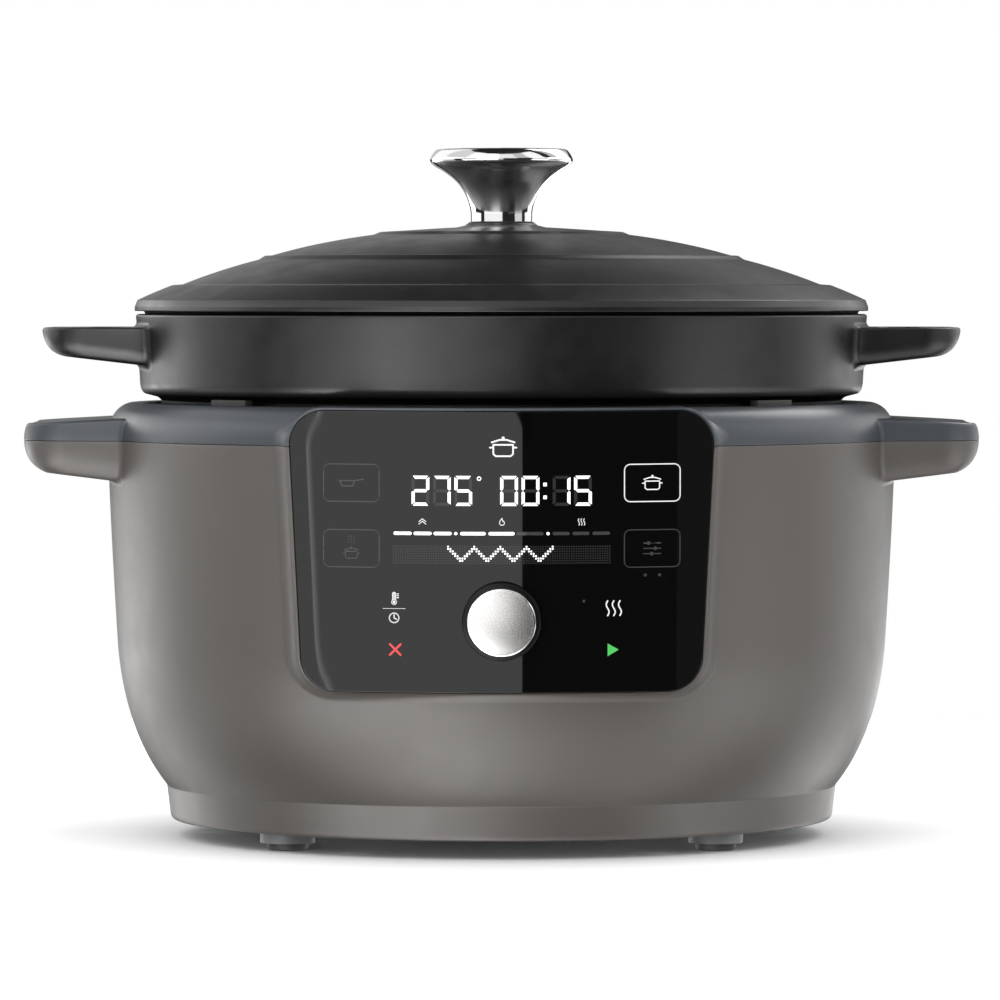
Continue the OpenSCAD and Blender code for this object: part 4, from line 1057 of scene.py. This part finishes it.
bright = pot_icon(0.6, 64.8, 1.15, 0.62)
bright += button_frame(56.4, 51.5, width=0.4) + pot_icon(56.4, 51.2, 0.85, 0.42)
bright += thermometer_icon(-40.2, 8.3, 0.72, 0.36) + clock_icon(-40.2, 1.0, 0.72, 0.4)
bright += waves_icon(42.0, 4.6, 1.15, 0.5)
marks("key_marks", bright, soft_white)
small = rise_icon(-29.6, 37.1, 0.5, 0.3) + flame_icon(0.2, 37.2, 0.55, 0.3) + waves_icon(29.9, 37.1, 0.5, 0.3)
small += line([[-44.4, 4.5], [-36.0, 4.5]], 0.16)
marks("stage_marks", small, soft_white)
dim = button_frame(-56.2, 51.5) + pan_icon(-57.2, 51.4, 1.0, 0.45)
dim += button_frame(-56.2, 26.9) + waves_icon(-56.2, 30.4, 0.5, 0.35) + pot_icon(-56.2, 25.0, 0.7, 0.4)
dim += button_frame(56.4, 26.9) + slider_icon(56.4, 26.9, 0.95, 0.42)
dim += disc(53.8, 16.9, 0.6) + disc(59.2, 16.9, 0.6) + disc(30.8, 7.4, 0.55)
marks("key_marks_dim", dim, dim_white)
stop = line([[-41.8, -12.9], [-37.8, -8.9]], 0.75) + line([[-41.8, -8.9], [-37.8, -12.9]], 0.75)
marks("stop_mark", stop, lit_red)
marks("start_mark", [prism([[39.7, -13.4], [43.9, -11.0], [39.7, -8.6]])], lit_green)


# --- Pads, feet, and the CAD pieces that show as they are --------------------------

def box_with_soft_edges(x0, x1, y0, y1, z0, z1, r):
    low, high = Vector((x0, y0, z0)), Vector((x1, y1, z1))
    bm = bmesh.new()
    bmesh.ops.create_cube(bm, size=1)
    for v in bm.verts:
        v.co = (low + high) / 2 + v.co * (high - low)
    bmesh.ops.bevel(bm, geom=bm.edges[:], offset=r, segments=4, profile=0.5, affect="EDGES")
    verts = [tuple(v.co) for v in bm.verts]
    faces = [tuple(v.index for v in f.verts) for f in bm.faces]
    bm.free()
    return verts, faces


def turned_about_z(part, angle):
    verts, faces = part
    c, s = math.cos(angle), math.sin(angle)
    return [(x * c - y * s, x * s + y * c, z) for x, y, z in verts], faces


CORNERS = [(sx, sy) for sx in (1, -1) for sy in (1, -1)]
PAD_X, PAD_Y = 102.5, 94  # each pad lies in the direction of such a point
FOOT_X, FOOT_Y = 82.4, 80
pad = box_with_soft_edges(137.6, 141.8, -10, 10, 169.5, 173.1, 0.4)
pads = [turned_about_z(pad, math.atan2(sy * PAD_Y, sx * PAD_X)) for sx, sy in CORNERS]
piece("pot_rest_tabs", mesh_of(*pads), rubber, "base", ["pot_rest_pads"])

foot_profile = [[0, 0], [6.9, 0], [7.6, 0.25], [7.9, 0.8], [7.9, 2.7], [4.0, 2.7], [4.0, 6.5], [0, 6.5]]
foot_verts, foot_faces = revolve(foot_profile, 64, closed=False)
feet = [([(x + sx * FOOT_X, y + sy * FOOT_Y, z) for x, y, z in foot_verts], foot_faces) for sx, sy in CORNERS]
piece("foot_pads_moulded", mesh_of(*feet), rubber, "base", ["foot_pads"])

# The sensor's spring stands on the guide's flange
SPRING_LOW, SPRING_HIGH, SPRING_R, WIRE_R, TURNS = 68.5, 84.5, 9.5, 0.6, 5
STEPS = 28                # rings of the wire to a turn
rise = (SPRING_HIGH - SPRING_LOW - 2 * WIRE_R) / (2 * math.pi * TURNS)
turn = np.linspace(0, 2 * math.pi, 12, endpoint=False)
coil = []
for step in range(TURNS * STEPS + 1):
    angle = 2 * math.pi * step / STEPS
    outward = np.array([math.cos(angle), math.sin(angle), 0])
    along = np.array([-math.sin(angle) * SPRING_R, math.cos(angle) * SPRING_R, rise])
    across = np.cross(along / np.linalg.norm(along), outward)
    middle = outward * SPRING_R + np.array([0, 0, SPRING_LOW + WIRE_R + rise * angle])
    coil.append(middle + WIRE_R * (np.outer(np.cos(turn), outward) + np.outer(np.sin(turn), across)))
coil = [[coil[0].mean(0)]] + coil + [[coil[-1].mean(0)]]
spring = piece("sensor_spring_coil", mesh_of(loft(coil, closed=False)), steel, "sensor",
               ["sensor_spring"], angle=50)
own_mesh(spring)

# The CAD pieces that show as they are: material, and the width of their softened edges
shown = {
    "bottom_cover": (cover_plastic, 0.5), "cover_screws": (steel, 0.2), "ring_screws": (steel, 0.2),
    "liner_screws": (steel, 0.12), "inner_liner": (sheet_metal, 0.25), "heating_plate": (cast_alu, 0.3),
    "heating_element": (steel, 0.1), "element_bushings": (ceramic, 0.2), "plate_spacers": (ceramic, 0.2),
    "shield_spacers": (steel, 0.15), "plate_screws": (steel, 0.2), "heat_shield": (sheet_metal, 0.2),
    "thermal_fuse": (ceramic, 0.1), "sensor_guide": (black_plastic, 0.2), "sensor_plunger": (cast_alu, 0.2),
    "knob_screw": (steel, 0.2), "panel_frame": (black_plastic, 0.2),
    "display_module": (black_plastic, 0.3), "control_board": (board, 0.1),
    "controller_chip": (black_plastic, 0.1),
    "touch_pads": (rubber, 0.2), "buzzer": (black_plastic, 0.2), "board_screws": (steel, 0.1),
    "encoder_body": (black_plastic, 0.15), "encoder_slider": (black_plastic, 0.1),
    "encoder_shaft": (steel, 0.15),
    "power_board": (board, 0.1), "relay": (black_plastic, 0.3), "transformer": (brass, 0.3),
    "capacitors": (black_plastic, 0.4), "power_board_screws": (steel, 0.15),
    "power_inlet": (black_plastic, 0.3),
    "inlet_pins": (brass, 0.2), "inlet_screws": (steel, 0.12), "heater_leads": (sleeve, 0),
    "inlet_leads": (sleeve, 0), "panel_ribbon": (sleeve, 0),
}
for name, (finish, width) in shown.items():
    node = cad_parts[name]
    node.data.materials.clear()
    node.data.materials.append(finish)
    if width:
        bevel = node.modifiers.new("soft_edges", "BEVEL")
        bevel.width = width * MM
        bevel.segments = 3
        bevel.limit_method = "ANGLE"
        bevel.angle_limit = math.radians(40)


# --- Floor, lights and camera --------------------------------------------------------

def staged(o):
    """Links an object of the studio, which isn't part of the model."""
    bpy.context.scene.collection.objects.link(o)
    return o


floor_mesh = bpy.data.meshes.new("floor")
bm = bmesh.new()
bmesh.ops.create_circle(bm, cap_ends=True, segments=96, radius=0.75)
bm.to_mesh(floor_mesh)
bm.free()
floor_mesh.materials.append(material("floor_pale", (0.93, 0.93, 0.93), 0.7, mottle=0.005, specular=0.2))
floor = staged(bpy.data.objects.new("floor", floor_mesh))
floor.location = (0, 0, -0.0002)
floor.visible_glossy = False

# The world is bright for the matt surfaces, white for the camera and nearly black for reflections
WORLD_MATT, WORLD_SEEN, WORLD_REFLECTED = 1.4, 1.0, 0.02
world = bpy.data.worlds.new("studio")
bpy.context.scene.world = world
world.use_nodes = True
tree = world.node_tree
background = tree.nodes["Background"]
rays = tree.nodes.new("ShaderNodeLightPath")
glossy = tree.nodes.new("ShaderNodeMapRange")
glossy.inputs["To Min"].default_value = WORLD_MATT
glossy.inputs["To Max"].default_value = WORLD_REFLECTED
tree.links.new(rays.outputs["Is Glossy Ray"], glossy.inputs["Value"])
seen = tree.nodes.new("ShaderNodeMath")
seen.operation = "MULTIPLY_ADD"
tree.links.new(rays.outputs["Is Camera Ray"], seen.inputs[0])
seen.inputs[1].default_value = WORLD_SEEN - WORLD_MATT
tree.links.new(glossy.outputs["Result"], seen.inputs[2])
background.inputs["Color"].default_value = (1, 1, 1, 1)
tree.links.new(seen.outputs["Value"], background.inputs["Strength"])

# A soft light that shapes the matt surfaces; the cards below make the reflections
light = bpy.data.lights.new("overhead", "AREA")
light.shape = "RECTANGLE"
light.size, light.size_y = 1.6, 1.6
light.energy = 12.6
overhead = staged(bpy.data.objects.new("overhead", light))
overhead.location = (0, -0.2, 1.8)
overhead.rotation_mode = "QUATERNION"
overhead.rotation_quaternion = (Vector((0, 0, 0.1)) - Vector(overhead.location)).to_track_quat("-Z", "Y")
overhead.visible_camera = False
overhead.visible_glossy = False


def card(name, points, strength, faces):
    """A bright panel that only reflections see."""
    mesh = bpy.data.meshes.new(name)
    mesh.from_pydata(points, [], faces)
    m = bpy.data.materials.new(name)
    m.use_nodes = True
    nodes = m.node_tree.nodes
    nodes.remove(nodes["Principled BSDF"])
    glow = nodes.new("ShaderNodeEmission")
    glow.inputs["Strength"].default_value = strength
    m.node_tree.links.new(glow.outputs["Emission"], nodes["Material Output"].inputs["Surface"])
    mesh.materials.append(m)
    o = staged(bpy.data.objects.new(name, mesh))
    for flag in ("visible_camera", "visible_diffuse", "visible_transmission", "visible_volume_scatter",
                 "visible_shadow"):
        setattr(o, flag, False)


# The studio: soft boxes on a wide sphere, by direction from the object. Azimuth 0 is the camera's side and 90
# is +X. The sphere has flat facets between UPRIGHTS and LEVELS, and each box covers one or more of them:
# (azimuth from, to, elevation from, to, brightness).
STUDIO_R, RIM_R = 3.0, 2.9
STUDIO_Y, STUDIO_Z = -0.14, 0.14
UPRIGHTS = (-180, -152, -118, -86, -70, -42, -30, -6, 3.3, 28, 54, 86, 102, 118, 152, 180)
LEVELS = (-72, -30, -19, -10.3, -4, 5, 16, 30, 62)
SOFT_BOXES = (
    # Behind, left and right: the lid reflects these at a low angle
    (-180, -152, -10.3, -4, 0.5), (-180, -152, 5, 30, 0.65), (152, 180, -10.3, -4, 2.8),
    (152, 180, 16, 30, 0.5),
    # Left and back left: the streaks on the body's left edge
    (-152, -118, -72, -30, 1), (-152, -118, -30, -10.3, 2), (-152, -118, -10.3, -4, 4),
    (-152, -118, -4, 5, 1.4), (-152, -118, 5, 16, 3), (-152, -118, 16, 62, 1.2), (-118, -86, -30, -10.3, 1),
    (-118, -86, -4, 5, 1.3), (-118, -86, 5, 16, 2.1), (-118, -70, 16, 30, 2.5), (-118, -70, 30, 62, 0.8),
    # In front left: the broad panel in the glass, a bright one below for the body and softer ones above
    (-70, -42, -72, -30, 3), (-70, -42, -30, -19, 9), (-70, -42, -19, -10.3, 1.6),
    (-70, 3.3, -10.3, -4, 1.24), (-70, 3.3, -4, 5, 1.1), (-70, -42, 16, 30, 1.4), (-70, -30, 30, 62, 1.4),
    (-42, -30, -72, -30, 5.5), (-42, -30, -30, -10.3, 10), (-42, -30, 5, 30, 2.4), (-30, -6, -72, -19, 6.7),
    (-30, -6, -19, -10.3, 0.5), (-30, -6, 5, 30, 4.2), (-30, -6, 30, 62, 1.9), (-6, 3.3, -72, -30, 4.5),
    (-6, 3.3, -30, -19, 0.9), (-6, 3.3, 16, 30, 1.4),
    # In front right: nearly dark
    (-6, 28, 30, 62, 1), (3.3, 28, -72, -30, 2.4), (3.3, 28, 16, 30, 0.8), (28, 54, -72, -30, 1.2),
    (28, 54, -10.3, -4, 0.1), (28, 54, 30, 62, 0.6),
    # Right and back right: the streaks on the body's right edge
    (54, 86, -72, -30, 2.1), (54, 86, -30, -10.3, 3.2), (54, 86, -10.3, -4, 0.5), (54, 86, -4, 16, 0.8),
    (54, 86, 16, 62, 1.2), (86, 102, -30, -10.3, 1.8), (86, 118, 5, 16, 1), (86, 102, 16, 30, 2.7),
    (102, 118, -19, -10.3, 1), (102, 118, -4, 5, 1.2), (102, 118, 16, 30, 2), (102, 118, 30, 62, 0.6),
    (118, 152, -72, -30, 1.2), (118, 152, -30, -19, 2.8), (118, 152, -19, -4, 1.7), (118, 152, -4, 5, 1.3),
    (118, 152, 5, 16, 2), (118, 152, 16, 30, 1.2), (118, 152, 30, 62, 6.5),
)


def studio_point(azimuth, elevation, radius=STUDIO_R):
    a, e = math.radians(azimuth), math.radians(elevation)
    return (radius * math.cos(e) * math.sin(a), STUDIO_Y - radius * math.cos(e) * math.cos(a),
            STUDIO_Z + radius * math.sin(e))


def strips(rows, columns):
    """The faces of a grid of points that is listed row by row."""
    return [(k, k + 1, k + 1 + columns, k + columns)
            for row in range(rows - 1) for k in range(row * columns, (row + 1) * columns - 1)]


for start, end, low, high, strength in SOFT_BOXES:
    across = [a for a in UPRIGHTS if start <= a <= end]
    up = [e for e in LEVELS if low <= e <= high]
    card(f"panel_{round(start)}_{round(low)}", [studio_point(a, e) for e in up for a in across], strength,
         strips(len(up), len(across)))

# The rim of the broad panel in front left is brighter, which draws the soft line near the left edge of the
# glass. RIM is its outer side, as (azimuth, elevation); it is narrower where it runs upright.
RIM = ([[-29.2, -5.0]] + bezier([-29.25, -5.3], [-31.4, -5.55], [-31.2, -5.8], 8)
       + bezier([-29.97, -8.7], [-29.7, -9.3], [-28.5, -9.47], 6) + [[-27.1, -9.8]])
for start, end, strength in ((0, 0.38, 3.0), (0.38, 0.62, 2.4), (0.62, 0.85, 1.9), (0.85, 1.1, 1.45)):
    sides = []
    for f in (start, end):
        for azimuth, level in RIM:
            width = np.interp(level, [-9.3, -9.15, -5.6, -5.5], [1.13, 0.9, 0.9, 1.13])
            sides.append(studio_point(azimuth + width * f, level, RIM_R))
    card(f"rim_{round(start * 100)}", sides, strength, strips(2, len(RIM)))

# A dark corner that rounds the right end of the same panel
DARK_CORNER = ([[2.0, -5.0]] + bezier([2.12, -5.45], [2.2, -5.62], [2.5, -5.65], 3)
               + bezier([2.9, -5.73], [3.38, -5.83], [3.43, -6.04], 4) + [[4.5, -6.04], [4.5, -5.0]])
card("rim_corner", [studio_point(azimuth, level, RIM_R) for azimuth, level in DARK_CORNER], 0,
     [tuple(range(len(DARK_CORNER)))])

# The camera stands 2.7 m away and a little to the left, and looks at the object's middle
CAMERA_X, CAMERA_Y, CAMERA_Z, AIM_Z = -0.00058, -2.70, 0.215, 0.132
camera_data = bpy.data.cameras.new("camera")
camera_data.lens = 245.5
camera_data.sensor_width = 36
camera = bpy.data.objects.new("camera", camera_data)
bpy.context.scene.collection.objects.link(camera)
camera.location = (CAMERA_X, CAMERA_Y, CAMERA_Z)
camera.rotation_mode = "QUATERNION"
camera.rotation_quaternion = (Vector((CAMERA_X, 0, AIM_Z)) - camera.location).to_track_quat("-Z", "Y")
camera_data.clip_end = 50
bpy.context.scene.camera = camera
bpy.context.scene.view_settings.view_transform = "Standard"
